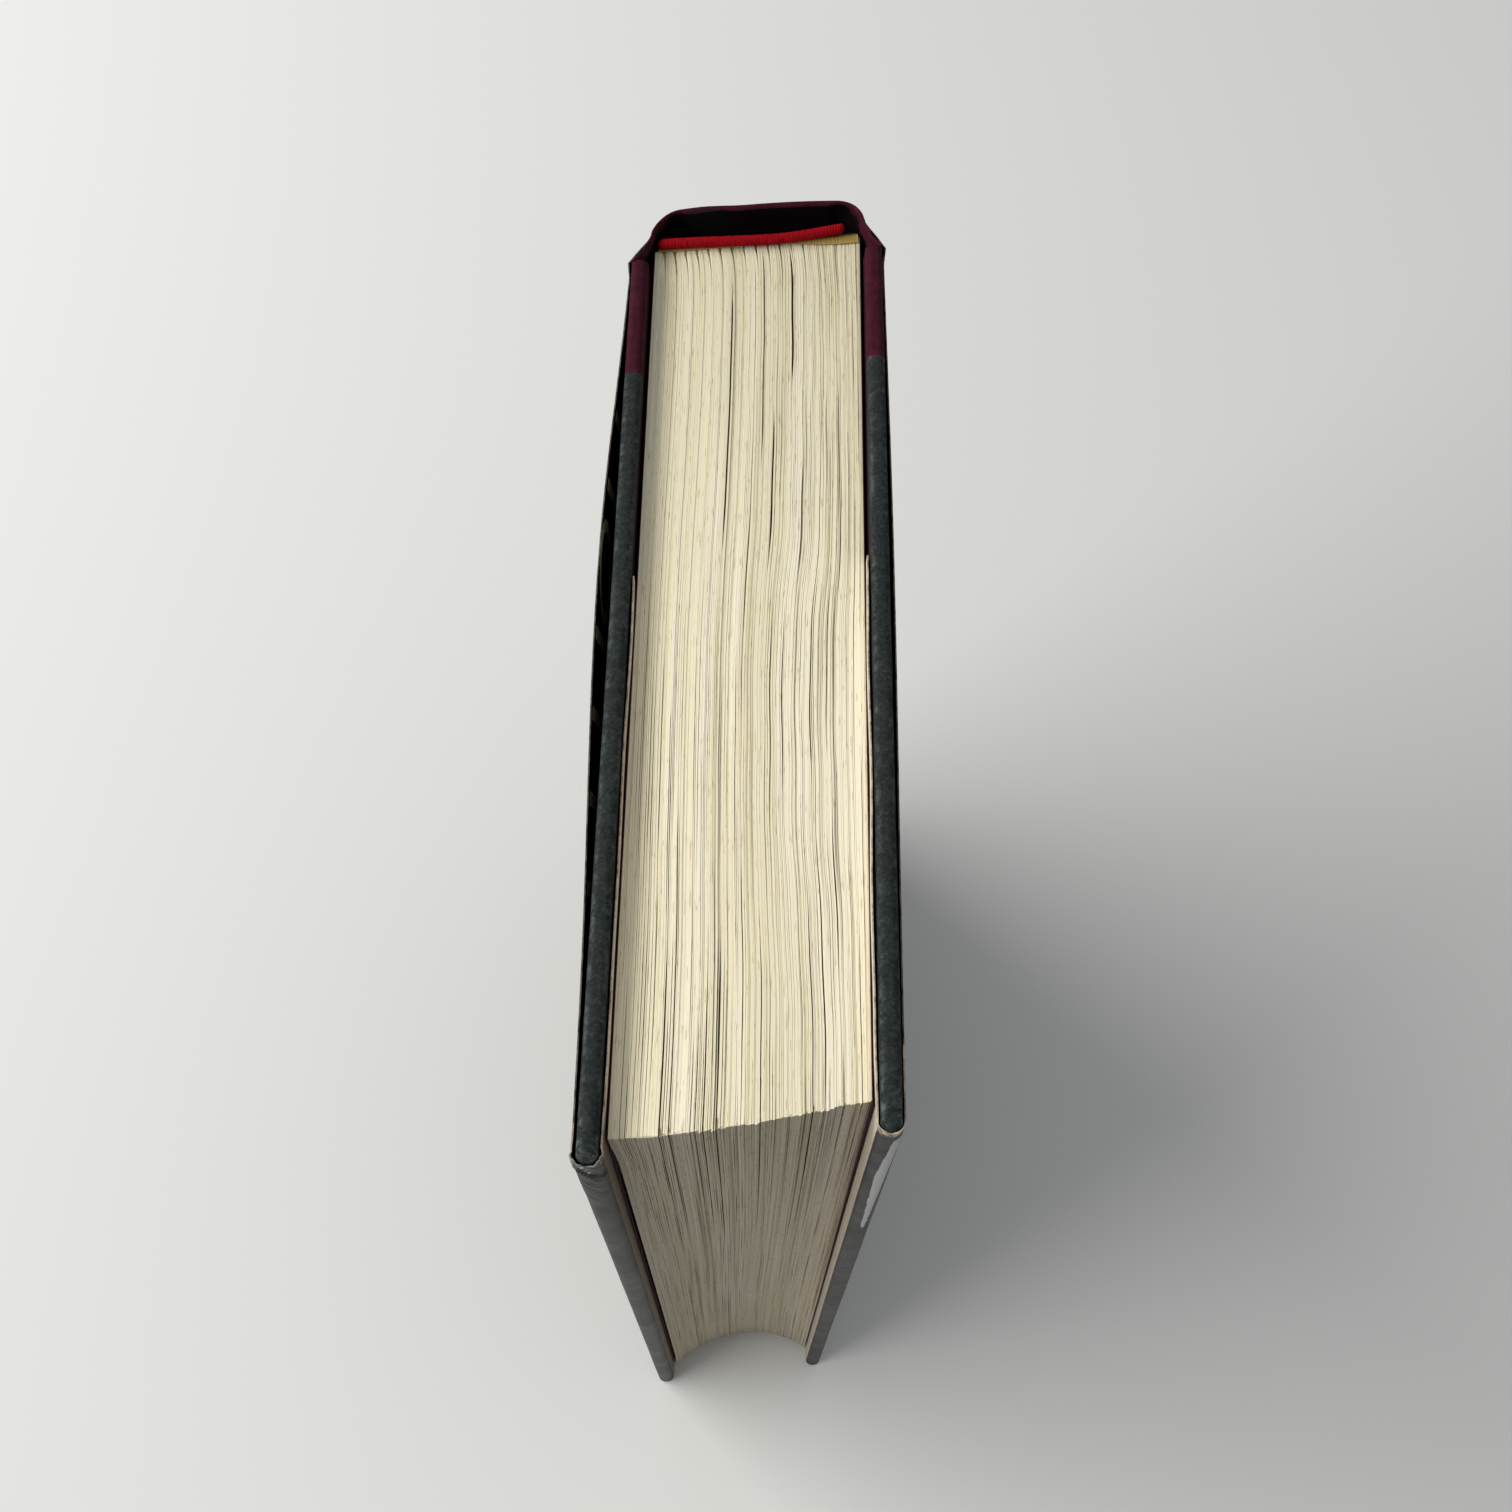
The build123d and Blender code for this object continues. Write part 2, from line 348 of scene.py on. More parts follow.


# %% [markdown]
# A sewn book shows its gatherings: folded sections whose round backs make scallops along the spine.
# Between them, and between bundles of leaves, are narrow gaps. Single leaves would be hundreds of thin
# sheets, so the block is one loop, up the fore-edge, along the head, down the spine and back along the
# tail, carried across the thickness. Each gap is three columns, two edges and a bottom, and each bundle
# has its own small step, so the cut faces have real relief. Most gaps are closed or nearly so, and a
# few come and go along the leaf. At the spine every gathering is pinched by its fold, which opens
# notches between gatherings, darkened like the gaps by painted shade, and the front ones lean over.
# The lines wander sideways as the leaves do, most at the back.

# %% Bundles across the thickness
GATHERINGS, BUNDLES_EACH = 18, 7
GATHERING_ROUND = 0.5
GATHERING_THICK = 2 * SPINE_HALF / GATHERINGS
rng = np.random.default_rng(41)

# Gaps that stand open: place t, from v, to v, width, depth
OPEN_GAPS = (
    (-0.25, 96, 150, 0.20, 0.7),
    (0.05, 112, 158, 0.18, 0.6),
    (0.31, 128, 158, 0.32, 1.4),
    (0.15, 92, 122, 0.26, 1.2),
    (-0.03, 80, 101, 0.13, 0.6),
    (0.12, 60, 84, 0.13, 0.6),
    (0.41, 88, 110, 0.14, 0.6),
    (0.77, 86, 108, 0.12, 0.5),
    (0.33, 52, 82, 0.11, 0.5),
    (0.22, 48, 80, 0.10, 0.4),
    (0.57, 54, 86, 0.12, 0.5),
    (0.70, 58, 88, 0.12, 0.5),
    (0.73, 24, 46, 0.16, 0.9),
    (0.60, 4, 42, 0.12, 0.6),
    (0.50, -9, 34, 0.12, 0.7),
    (0.11, -9, 30, 0.11, 0.6),
    (-0.205, -9, 28, 0.11, 1.6),
    (-0.30, -9, 24, 0.10, 0.6),
    (-0.36, -9, 18, 0.10, 0.6),
    (-0.55, -9, 50, 0.12, 0.8),
    (-0.62, -9, 30, 0.12, 0.9),
)


def bundle_edges():
    """Uneven widths within each gathering, added up and scaled to run from -1 to 1. The line nearest to
    each open gap is moved onto it."""
    widths = rng.uniform(0.35, 1.65, (GATHERINGS, BUNDLES_EACH))
    widths /= widths.sum(1, keepdims=True)
    edges = np.concatenate([[0], np.cumsum(widths.ravel())]) / GATHERINGS * 2 - 1
    for t, *_ in OPEN_GAPS:
        edges[1 + np.argmin(abs(edges[1:-1] - t))] = t
    return np.sort(edges)


line_t = bundle_edges()
bundles = len(line_t) - 1
is_fold = (np.arange(bundles + 1) % BUNDLES_EACH) == 0
print("bundles of leaves", bundles)


# %% Columns of the block
def in_columns(first, crown, near_edge, bottom, far_edge, last):
    """A value for each column: the first leaf, then the crown of each bundle with the near edge, bottom
    and far edge of the gap after it, and the last leaf. The last bundle has no gap after it."""
    each = np.stack(np.broadcast_arrays(crown, near_edge, bottom, far_edge), 1)
    return np.concatenate([[first], each.ravel()[:-3], [last]])


bundle, gap_t = np.arange(bundles), line_t[1:]
column_t = in_columns(-1, (line_t[:-1] + gap_t) / 2, gap_t, gap_t, gap_t, 1)
column_side = in_columns(0, bundle * 0, -1, 0, 1, 0)
column_line = in_columns(0, 0, bundle + 1, bundle + 1, bundle + 1, 0)
column_bottom = in_columns(0, bundle * 0, 0, 1, 0, 0)
column_bundle = in_columns(0, bundle, bundle, bundle, np.minimum(bundle + 1, bundles - 1), bundles - 1)
print("columns", len(column_t))


# %% Gaps between bundles
def gap_shape(line, t, v, run, near_fold):
    """Width, depth and painted shade of each gap at each place: gaps that come and go along the run, fainter
    towards the spine at the front of the book and pressed shut down the fore-edge, notches between
    gatherings at the spine, and the open gaps between their two ends."""
    strength = (rng.uniform(0, 1, bundles + 1) ** 1.7)[line]
    phase = rng.uniform(0, 200, bundles + 1)[line]
    coming = smooth(waves(run + phase, (38, 61, 97), (0.3, 1.9, 0.7)), -0.35, 0.35)
    shut = smooth(v, 45, 110) * smooth(-t, -0.25, 0.3)
    part = strength * coming * (1 - 0.85 * shut)
    width, depth, dark = 0.06 + 0.12 * part, 0.03 + 0.34 * part, 0.14 + 0.9 * part - 0.1 * shut
    from_corner = run - FORE_EDGE_LENGTH
    parted = 0.26 + 0.4 * smooth(from_corner, -90, -1) + 0.34 * smooth(from_corner, -1, 1)
    dark, depth = dark * parted, depth * (0.45 + 0.55 * parted)
    fold = is_fold[line] * np.exp(-near_fold / (3.4 - 2.6 * t.clip(-1, 0)))
    fold = fold * (1 - 0.7 * smooth(t, 0.0, 0.6))
    width, depth, dark = width + 0.07 * fold, depth + 0.65 * fold, dark + 0.3 * fold
    for place, low, high, gap_width, gap_depth in OPEN_GAPS:
        here = (abs(line_t[line] - place) < 1e-9) * smooth(from_corner, -95, -15)
        here = here * smooth(v, low - 4, low + 6) * (1 - smooth(v, high - 8, high + 2))
        width, depth, dark = width + here * gap_width, depth + here * gap_depth, dark + here
    return width, depth, dark.clip(0, 1)


# %% How the leaves wander and lean
def leaf_slide(t, v, z):
    """Sideways wander of the lines, none at the two outer leaves: long waves that change a little from
    the front of the book to the back. The back half also bends towards the front between v of 33 and 89,
    where exp(-((v - 61) / 28) ** 4) is large. Below the head, the fore-edge of the first leaves has
    come away from the cover, by a bell curve over v."""
    inner, late = 1 - t ** 4, 0.2 + 0.8 * smooth(t, -0.3, 0.6)
    along = 0.34 * np.sin(2 * np.pi * v / 118 + 0.9 + 0.9 * t)
    along = along + 0.1 * late * np.sin(2 * np.pi * v / 47 + 2.4 * t)
    bend = late * (0.4 - 1.1 * np.exp(-((v - 61) / 28) ** 4))
    ripple = 0.08 * late * np.sin(2 * np.pi * v / 19 + 5 * t)
    down = 0.3 * np.sin(2 * np.pi * (LEAF_HEAD - z) / 260 + t)
    parted = 0.65 * smooth(-t, 0.6, 1) * smooth(LEAF_HEAD - z, 0.5, 14) * np.exp(-(v / 9) ** 2)
    return inner * (along + bend + ripple + down) + parted


def pinch_slide(t, near_fold):
    """Each place in a gathering drawn towards its middle near the fold, and the front ones leaning over.
    The two edges of a gap belong to the gatherings on their own sides."""
    place = (t + 1) / 2 * GATHERINGS % 1 - 0.5
    at_gap = is_fold[column_line] & ((column_side != 0) | (column_bottom == 1))
    place = np.where(at_gap, -0.5 * column_side, place) * (abs(t) < 0.999)
    reach = 3.0 - 2.2 * t.clip(-1, 0)
    over = 1.5 * (1 - t) / 2 * (1 - t ** 4)
    drawn = GATHERING_THICK * (0.32 - 0.2 * smooth(t, 0.0, 0.6))
    return -place * drawn * np.exp(-near_fold / reach) - over * np.exp(-near_fold / 3.6)


# %% The block of leaves
FORE_ROWS, HEAD_ROWS, SPINE_ROWS, TAIL_ROWS = 42, 64, 10, 16
# How far back the head corner lies, mm, at places across the thickness
HEAD_CORNER = (-1, -0.65, -0.35, 0.08, 0.5, 0.7, 1), (-0.3, -0.5, -0.25, 0, 0.5, 0.8, 0.8)


def loop_rows():
    """The share of the leaf's width, the height and the outward direction of each row of the loop, with
    rows closer together near the head corner."""
    fore_z = LEAF_HEAD - FORE_EDGE_LENGTH * np.linspace(1, 0, FORE_ROWS) ** 1.25
    head = np.linspace(0, 1, HEAD_ROWS)
    head = (1 - np.cos(np.pi * head)) / 2 * 0.35 + head * 0.65
    spine_z = np.linspace(LEAF_HEAD, LEAF_TAIL, SPINE_ROWS)
    tail = np.linspace(1, 0, TAIL_ROWS)
    across = np.concatenate([fore_z * 0, head, spine_z * 0 + 1, tail])
    z = np.concatenate([fore_z, head * 0 + LEAF_HEAD, spine_z, tail * 0 + LEAF_TAIL])
    counts = [FORE_ROWS, HEAD_ROWS, SPINE_ROWS, TAIL_ROWS]
    return across, z, np.repeat([[-1, 0], [0, 1], [1, 0], [0, -1]], counts, 0)


def block_of_leaves():
    """A grid of loop rows by columns. The fore-edge bows in towards the tail and out at the head, where
    the leaves have also slipped in a shallow S, straight runs between the places of HEAD_CORNER. The
    gatherings are round at the spine, and gaps and steps move each point along the outward direction."""
    across, z, out = loop_rows()
    across, z = across[:, None], z[:, None] + 0 * column_t
    gathering = (column_t + 1) / 2 * GATHERINGS % 1
    round_back = GATHERING_ROUND * (1 - 4 * gathering * (1 - gathering))
    height = (z - LEAF_TAIL) / FORE_EDGE_LENGTH
    slipped = np.interp(column_t, *HEAD_CORNER) * smooth(height, 0.3, 1)
    fore_v = SQUARE + (5.6 - 6.0 * height) * (1 - column_t ** 2) + slipped
    v = fore_v + across * (SPINE_V - round_back - fore_v)
    length = np.cumsum(np.hypot(*(np.diff(p[:, 0], prepend=p[:1, 0]) for p in (v, z))))[:, None]
    width, depth, dark = gap_shape(column_line, column_t, v, length, SPINE_V - v)
    section = column_bundle // BUNDLES_EACH
    step = rng.normal(0, 0.03, bundles)[column_bundle] + rng.normal(0, 0.05, GATHERINGS)[section]
    fore_step = rng.normal(0, 0.07, bundles)[column_bundle] + rng.normal(0, 0.16, GATHERINGS)[section]
    inner = 1 - smooth(abs(column_t), 0.97, 1)
    fore_step = fore_step * inner * (0.4 + 0.6 * smooth(z, LEAF_HEAD - 60, LEAF_HEAD - 4))
    move_z = (step * inner - column_bottom * depth - 0.12) * out[:, 1:]
    move_v = (np.where(out[:, :1] < 0, fore_step, 0) - column_bottom * depth) * out[:, :1]
    slide = leaf_slide(column_t, v, z) + pinch_slide(column_t, SPINE_V - v) + column_side * width / 2
    points = leaf_point(column_t, v + move_v, z + move_z, slide)
    uv = np.stack(np.broadcast_arrays(column_t * SPINE_HALF, length), -1)
    index = np.arange(points[..., 0].size).reshape(points.shape[:2])
    faces = grid_quads(np.concatenate([index, index[:1]])).reshape(-1, 4)
    ends = [index[:, 0], index[::-1, -1]]
    return points.reshape(-1, 3), faces, uv.reshape(-1, 2), ends, (dark * column_bottom).ravel()


points, faces, uv, ends, gap = block_of_leaves()
# The gap mark holds the painted shade at the bottom of each gap
leaves = make_piece("leaves", points, faces, uv, [trimmed_paper()], ends=ends, sharp=18, marks={"gap": gap})
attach(leaves, "book_block")
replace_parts(leaves, "text_block")

# %% [markdown]
# The boards are covered in two materials. Slate grey cover paper is matt, with a mottled grain and
# a paler rub along its edges. Maroon book cloth is a fine plain weave with four or five threads to the
# millimetre, which only shows from close by. Both could be pictures, but noise and crossed waves have
# no seams and no size limit.

# %% Slate cover paper and maroon cloth
# A wave texture has a band each 0.314 / scale, so 1.4 gives a thread each 0.22 mm
WEAVE = 1.4
# Specks of about 0.5 mm and clouds of about 1.5 mm: scale for each metre, and detail
GRAIN, CLOUD = (1900.0, 4.0), (650.0, 5.0)


def slate_paper():
    """Fine and coarse noise over dark grey, times a rub along the edges kept in the rub attribute."""
    material = new_material("slate_cover_paper")
    place = add_node(material, "TexCoord", out="Object")
    grain, cloud = (
        add_node(material, "TexNoise", {"Vector": place, "Scale": scale, "Detail": detail, "Roughness": 0.7})
        for scale, detail in (GRAIN, CLOUD)
    )
    mottle = add_node(
        material, "ValToRGB", {"Fac": grain}, [(0.34, "#1A1F20"), (0.52, "#252B2B"), (0.7, "#363D3D")]
    )
    clouded = add_node(material, "ValToRGB", {"Fac": cloud}, [(0.35, "#D5D8D7"), (0.62, "#FFFFFF")])
    rub = add_node(material, "Attribute", out="Fac", attribute_name="rub")
    patchy = add_node(material, "MapRange", {"Value": cloud, 1: 0.46, 2: 0.66})
    colour = layered(material, "MULTIPLY", mottle, (1.0, clouded))
    rubbed = together(material, "MULTIPLY", rub, patchy)
    colour = layered(material, "MIX", colour, (rubbed, linear("#636A67")))
    return finish(material, colour, 0.82, 0.2, grain, 0.5, 0.00008)


def book_cloth(name, *tones):
    """Two crossed waves make a plain weave in the piece's UV map, and noise varies the dye over tones."""
    material = new_material(name)
    uv = add_node(material, "UVMap", uv_map="print")
    inputs = {"Vector": uv, "Scale": WEAVE, "Distortion": 0.8, "Detail": 1.0}
    threads = [add_node(material, "TexWave", inputs, out="Fac", bands_direction=way) for way in "XY"]
    weave = together(material, "MULTIPLY", *threads)
    inputs = {"Vector": uv, "Scale": 0.6, "Detail": 5.0, "Roughness": 0.65}
    dye = add_node(material, "TexNoise", inputs, noise_dimensions="2D")
    tone = add_node(material, "ValToRGB", {"Fac": dye}, zip((0.3, 0.52, 0.72), tones))
    thread = add_node(material, "ValToRGB", {"Fac": weave}, [(0.0, "#EFECED"), (0.8, "#FFFFFF")])
    colour = layered(material, "MULTIPLY", tone, (1.0, thread))
    return finish(material, colour, 0.85, 0.12, weave, 0.25, 0.00005)


slate = slate_paper()
cloth = book_cloth("maroon_book_cloth", "#310A18", "#3D0E1E", "#4A1526")
print("finishes", slate.name, cloth.name)

# %% [markdown]
# A covered board has soft edges: paper drawn round a card three millimetres thick never turns a
# sharp corner. A bevelled box could stand for it, but the cover would have no turn-ins. Here its
# outline in section is a rounded rectangle from tail to head, carried from the cloth to the
# fore-edge, where it draws in and closes. The inside is cut away between the turn-ins, where the
# pastedown lies on the board.

# %% Section of a covered board
HEAD_ROUND, FORE_ROUND = 1.2, 1.35
HALF_THICK, HALF_HIGH = CASE_THICK / 2, BOARD_TOP / 2
U_MIDDLE = PASTEDOWN + HALF_THICK
CORNER_POINTS, FLAT_POINTS = 7, 32
INSIDE = 3 * CORNER_POINTS + FLAT_POINTS
BETWEEN_TURN_INS = slice(INSIDE + 1, INSIDE + FLAT_POINTS - 2)


def section_loop(inset):
    """Points round the section for an inset from its outline: outside face, head, inside face, tail.
    Its corners are quarter circles of HEAD_ROUND. The third value is how exposed each point is to
    rubbing: 1 in the middle of a corner, a little over the head and nothing on the flat faces."""
    quarter = np.linspace(0, np.pi / 2, CORNER_POINTS)
    rise = np.linspace(-1, 1, FLAT_POINTS + 2)[1:-1] * (HALF_HIGH - HEAD_ROUND)
    corner_u = HALF_THICK - HEAD_ROUND + HEAD_ROUND * np.cos(quarter)
    corner_z = HALF_HIGH - HEAD_ROUND + HEAD_ROUND * np.sin(quarter)
    exposed = np.maximum(np.sin(2 * quarter) ** 4, 0.12 * np.sin(quarter))
    flat, still = rise * 0 + HALF_THICK, rise * 0
    u = np.concatenate([corner_u[::-1], flat, corner_u, -corner_u[::-1], -flat, -corner_u, corner_u[-1:]])
    z = np.concatenate([-corner_z[::-1], rise, corner_z, corner_z[::-1], -rise, -corner_z, -corner_z[-1:]])
    e = np.concatenate([exposed[::-1], still, exposed, exposed[::-1], still, exposed, exposed[-1:]])
    return (
        U_MIDDLE + u * np.maximum(HALF_THICK - inset, 0) / HALF_THICK,
        HALF_HIGH + z * (HALF_HIGH - inset) / HALF_HIGH,
        e + 0 * inset,
    )


def distances(path):
    """The distance along a path in plan or section to each of its points."""
    return np.concatenate([[0], np.cumsum(np.hypot(*np.diff(path, axis=0).T))])


girth = distances(np.stack(section_loop(np.zeros(1))[:2], 1))
print("round a covered board, mm", round(girth[-1], 1))


# %% Covered boards
CLOTH_EDGE = BOARD_WIDTH - 25.3
TURN_IN = 15.0


def covering(side, v, inset, open_rows):
    """A sheet over rows at v with their insets, with shallow dents along the head, and with the inside
    cut away over the first open_rows."""
    grids = []
    for depth in (0, COVERING):
        u, z, _ = section_loop((inset + depth)[:, None])
        rows = (v + depth * smooth(inset, 0, FORE_ROUND))[:, None]
        dent = 0.07 * waves(v[:, None] + 0.4 * z, (31, 53, 12), (side, 1.7, 0.4))
        dent = abs(dent) * smooth(z, BOARD_TOP - 8, BOARD_TOP) * (inset < 0.01)[:, None]
        grids.append(raised(side, cover_plan(side, u - dent * np.sign(u - U_MIDDLE), rows + 0 * z), z))
    keep = np.ones((len(v) - 1, len(girth) - 1), bool)
    keep[:open_rows, BETWEEN_TURN_INS] = False
    return sheet(grids, v[:, None], girth, keep)


def paper_wrap(side):
    """Slate paper from the cloth to the fore-edge, where it closes over a quarter circle."""
    angle = np.linspace(0, np.pi / 2, 9)[1:]
    body = np.linspace(CLOTH_EDGE, TURN_IN, 40)
    near = np.linspace(TURN_IN, FORE_ROUND, 8)[1:]
    closing = np.array([HALF_THICK - 0.05, HALF_THICK])
    v = np.concatenate([body, near, FORE_ROUND * (1 - np.sin(angle)), closing * 0])
    inset = np.concatenate([body * 0, near * 0, FORE_ROUND * (1 - np.cos(angle)), closing])
    points, faces, uv, _ = covering(side, v, inset, len(body) - 1)
    _, _, exposed = section_loop(np.zeros((1, 1)))
    near_fore = 1 - smooth(v, 0.5, 9)[:, None]
    rub = np.clip(0.45 * exposed + near_fore * (0.25 + 0.7 * exposed), 0, 1).ravel()
    marks = {"rub": np.tile(rub, 2)}
    piece = make_piece(
        f"{WORD[side]}_side_wrap", points, faces, uv, [slate], weld=True, sharp=60, marks=marks
    )
    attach(piece, f"{WORD[side]}_cover")
    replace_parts(piece, f"{WORD[side]}_side_paper")


for side in (FRONT, BACK):
    paper_wrap(side)

# %% [markdown]
# Cloth and jacket both run round the back of the book, down into the groove at the joint and up onto
# the board. In plan that is one path. A Bezier curve could draw it, but the path has to lie on the
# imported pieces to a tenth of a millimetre, so it is worked out here once, at a distance out from the
# inside of the cloth, and a light blur along it turns its corners into the soft bends of cloth.

# %% Path round the back of the book
SHELL_HALF, SHELL_V = SPINE_HALF + 0.45, SPINE_V + 6.27
SHELL_ROUND, SHELL_CROWN = 5.0, 1.2
FLANK_LEAN = 0.8
GROOVE_V = HINGE_V - 0.3


def resample(path, gap):
    """The path with points evenly gap apart, near enough, and the distance along it."""
    length = distances(path)
    even = np.linspace(0, length[-1], int(length[-1] / gap) + 2)
    return np.stack([np.interp(even, length, path[:, k]) for k in (0, 1)], 1), even


def blur(path, reach):
    """Each point replaced by the mean of its neighbours within reach points, ends held."""
    padded = np.pad(path, ((reach, reach), (0, 0)), mode="reflect", reflect_type="odd")
    kernel = np.hanning(2 * reach + 3)[1:-1]
    return np.stack([np.convolve(padded[:, k], kernel / kernel.sum(), "valid") for k in (0, 1)], 1)


def outward(path):
    """Unit normals of a path in plan, to the left of its direction."""
    tangent = np.gradient(path, axis=0)
    tangent /= np.linalg.norm(tangent, axis=1, keepdims=True)
    return np.stack([-tangent[:, 1], tangent[:, 0]], 1)


def back_path(side, out):
    """From the middle of the spine over its crown, round its shoulder and down the flank to the hinge, as
    plan points for one side. The crown falls with the square of x, and the front one is pushed out a
    little. The lean adds to y, and is turned round for the front, which is drawn mirrored."""
    half, radius = SHELL_HALF + out, SHELL_ROUND + out
    flat = np.linspace(0, half - radius, 20)
    angle = np.linspace(0, np.pi / 2, 14)[1:]
    x = np.concatenate([flat, half - radius + radius * np.sin(angle), [half + FLANK_LEAN]])
    fall = SHELL_CROWN * (np.minimum(x, half - radius) / SHELL_HALF) ** 2
    pushed = 0.7 * (side == FRONT) * smooth(x, 2, 11) * (1 - smooth(x, 14, half))
    bend = np.concatenate([flat * 0, radius * (1 - np.cos(angle))])
    v = np.append((SHELL_V + out - fall + pushed)[:-1] - bend, HINGE_V + 0.8)
    return np.stack([x, v + side * lean(x)], -1)


def round_the_back(side, out, joint_out, rise, board_v, gap, soft):
    """The back path at a distance out, then the joint at joint_out, from the groove up to the outside of
    the board at board_v. rise lifts the sheet out of the groove. Points are gap apart, with corners
    blurred over soft points. Returns the path and the distance along it before the blur."""
    u = joint_out - JACKET + rise
    v = np.array([HINGE_V + 0.3, GROOVE_V + joint_out / 2, board_v])
    joint = cover_plan(side, np.array([u, u, OUTER_U - COVERING + joint_out]), v)
    path, along = resample(np.concatenate([back_path(side, out)[:-1], joint]), gap)
    return blur(path, soft), along


# %% [markdown]
# The cloth is drawn in over both ends of the back and pasted inside, over the card. That double edge
# is what the eye meets at the head of the spine: a soft rim about a millimetre thick, pinched and
# creased where it passes the joints. A cloth simulation could find such creases, but glued cloth
# holds the form it is given. Down inside, no light reaches the cloth, and it gets a finish as dark
# as the shade there.

# %% Quarter cloth
CLOTH_TURN_IN = 14.0
CLOTH_RISE = 1.2
STIFFENER, STIFFENER_HALF = 0.5, SHELL_HALF - 6.0
# How far down its inside the cloth is lit, along the back and at the joints
RIM, JOINT_RIM = 0.35, 2.4
# Painted shade: a near-black copy of the maroon cloth for its inside down the back
shaded_cloth = book_cloth("maroon_book_cloth_painted_shade_inside_back", "#080102", "#0C0204", "#130407")


def both_faces(side, path, offsets, z):
    """Grids of points at two sets of offsets outwards from the path, at the heights z."""
    normal = outward(path)
    return [raised(side, path[:, None] + normal[:, None] * out[..., None], z) for out in offsets]


def cloth_on_board(side):
    """The covering from the cloth's edge to the board's spine edge, open on the inside."""
    v = np.linspace(CLOTH_EDGE, BOARD_WIDTH, 14)
    return covering(side, v, v * 0, len(v))


def cloth_over_joint(side):
    """From the middle of the spine to the board. Near both ends a second layer lies inside, over the card
    at the back, and the fold between the layers is round. Creases cross the joint at the head. The
    heights are close together at both edges and at the ends of the turned-in cloth."""
    path, along = round_the_back(side, 0, 0, CLOTH_RISE, BOARD_WIDTH, 0.4, 3)
    edge = [0, 0.06, 0.2, 0.42, 0.7, 1.1, 1.8, 3, 4.6, 6.5, 8.5, 11, CLOTH_TURN_IN, CLOTH_TURN_IN + 0.1]
    z = np.concatenate([edge, np.linspace(20, BOARD_TOP - 20, 50), BOARD_TOP - np.array(edge)[::-1]])
    from_end = np.minimum(z, BOARD_TOP - z)
    v = path[:, 1] - side * lean(path[:, 0])
    pinched = np.exp(-((v - GROOVE_V - 1.5) / 3.2) ** 2)[:, None]
    crease = waves(z + 1.3 * along[:, None], (2.6, 4.1, 6.7), (0.4, side, 2.2))
    crease = crease * smooth(z, BOARD_TOP - 16, BOARD_TOP - 1)
    fold = np.sqrt(np.clip(1 - (1 - from_end / 0.7).clip(0, 1) ** 2, 0, 1))
    over_card = 1 - smooth(path[:, 0], STIFFENER_HALF, STIFFENER_HALF + 1.6)[:, None]
    layers = np.where(from_end < CLOTH_TURN_IN + 0.05, 1.0, 0.0) * fold
    inside = -layers * (0.3 + (STIFFENER - 0.05) * over_card)
    roll = 0.28 * np.exp(-(from_end / 1.1) ** 2) * fold
    lift = 0.22 * pinched * np.maximum(crease, 0)
    offsets = lift + COVERING * np.maximum(fold, 0.3) + 0.4 * roll, lift + inside - 0.6 * roll
    return sheet(both_faces(side, path, offsets, z), along[:, None], z)


def bend_at_joint(piece):
    """Bakes the piece's transform into its mesh; it does not follow the cover or the block."""
    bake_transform(piece)


for side in (FRONT, BACK):
    points, faces, uv, slots = join_parts(cloth_on_board(side), cloth_over_joint(side))
    x, _, z = points[faces].mean(1).T
    # Inner faces below the lit rim take the painted shade cloth
    rim = RIM + (JOINT_RIM - RIM) * smooth(abs(x - MIDDLE_X), SHELL_HALF - 3.5, SHELL_HALF - 0.5)
    slots = (slots == 1) & (np.minimum(z, BOARD_TOP - z) > rim)
    name = f"{WORD[side]}_quarter_cloth"
    piece = make_piece(name, points, faces, uv, [cloth, shaded_cloth], slots, weld=True)
    bend_at_joint(piece)
    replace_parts(piece, f"{WORD[side]}_cloth", "spine_cloth")

# %% [markdown]
# The jacket is one sheet of paper, printed black with a gloss varnish and cream on its flaps. Its
# panels stand a little off the boards, most on the front towards the spine, and it crosses the joints
# without going down into the grooves. At the fore-edge it folds round the board, and there years of
# handling have cracked the print back to the cream paper along the head. Stiff paper keeps its folds,
# so its path is drawn and not simulated. The print is worked out in the sheet's UV map: the distance
# from the middle of the spine, and the height.

# %% Path of the jacket
FLAP_WIDTH = 89.0
FOLD_ROUND = 1.5
# How far the panel stands off at the fold and bows beyond that, and the flap leans in at its middle
STAND_OFF = {FRONT: 0.32, BACK: 0.12}
PANEL_BOW = {FRONT: 2.1, BACK: 0.45}
FLAP_OFF = {FRONT: 0.13, BACK: 0.22}
JOINT_RISE = 1.7
SPINE_ZONE, PANEL_ZONE, FOLD_ZONE, FLAP_ZONE = range(4)


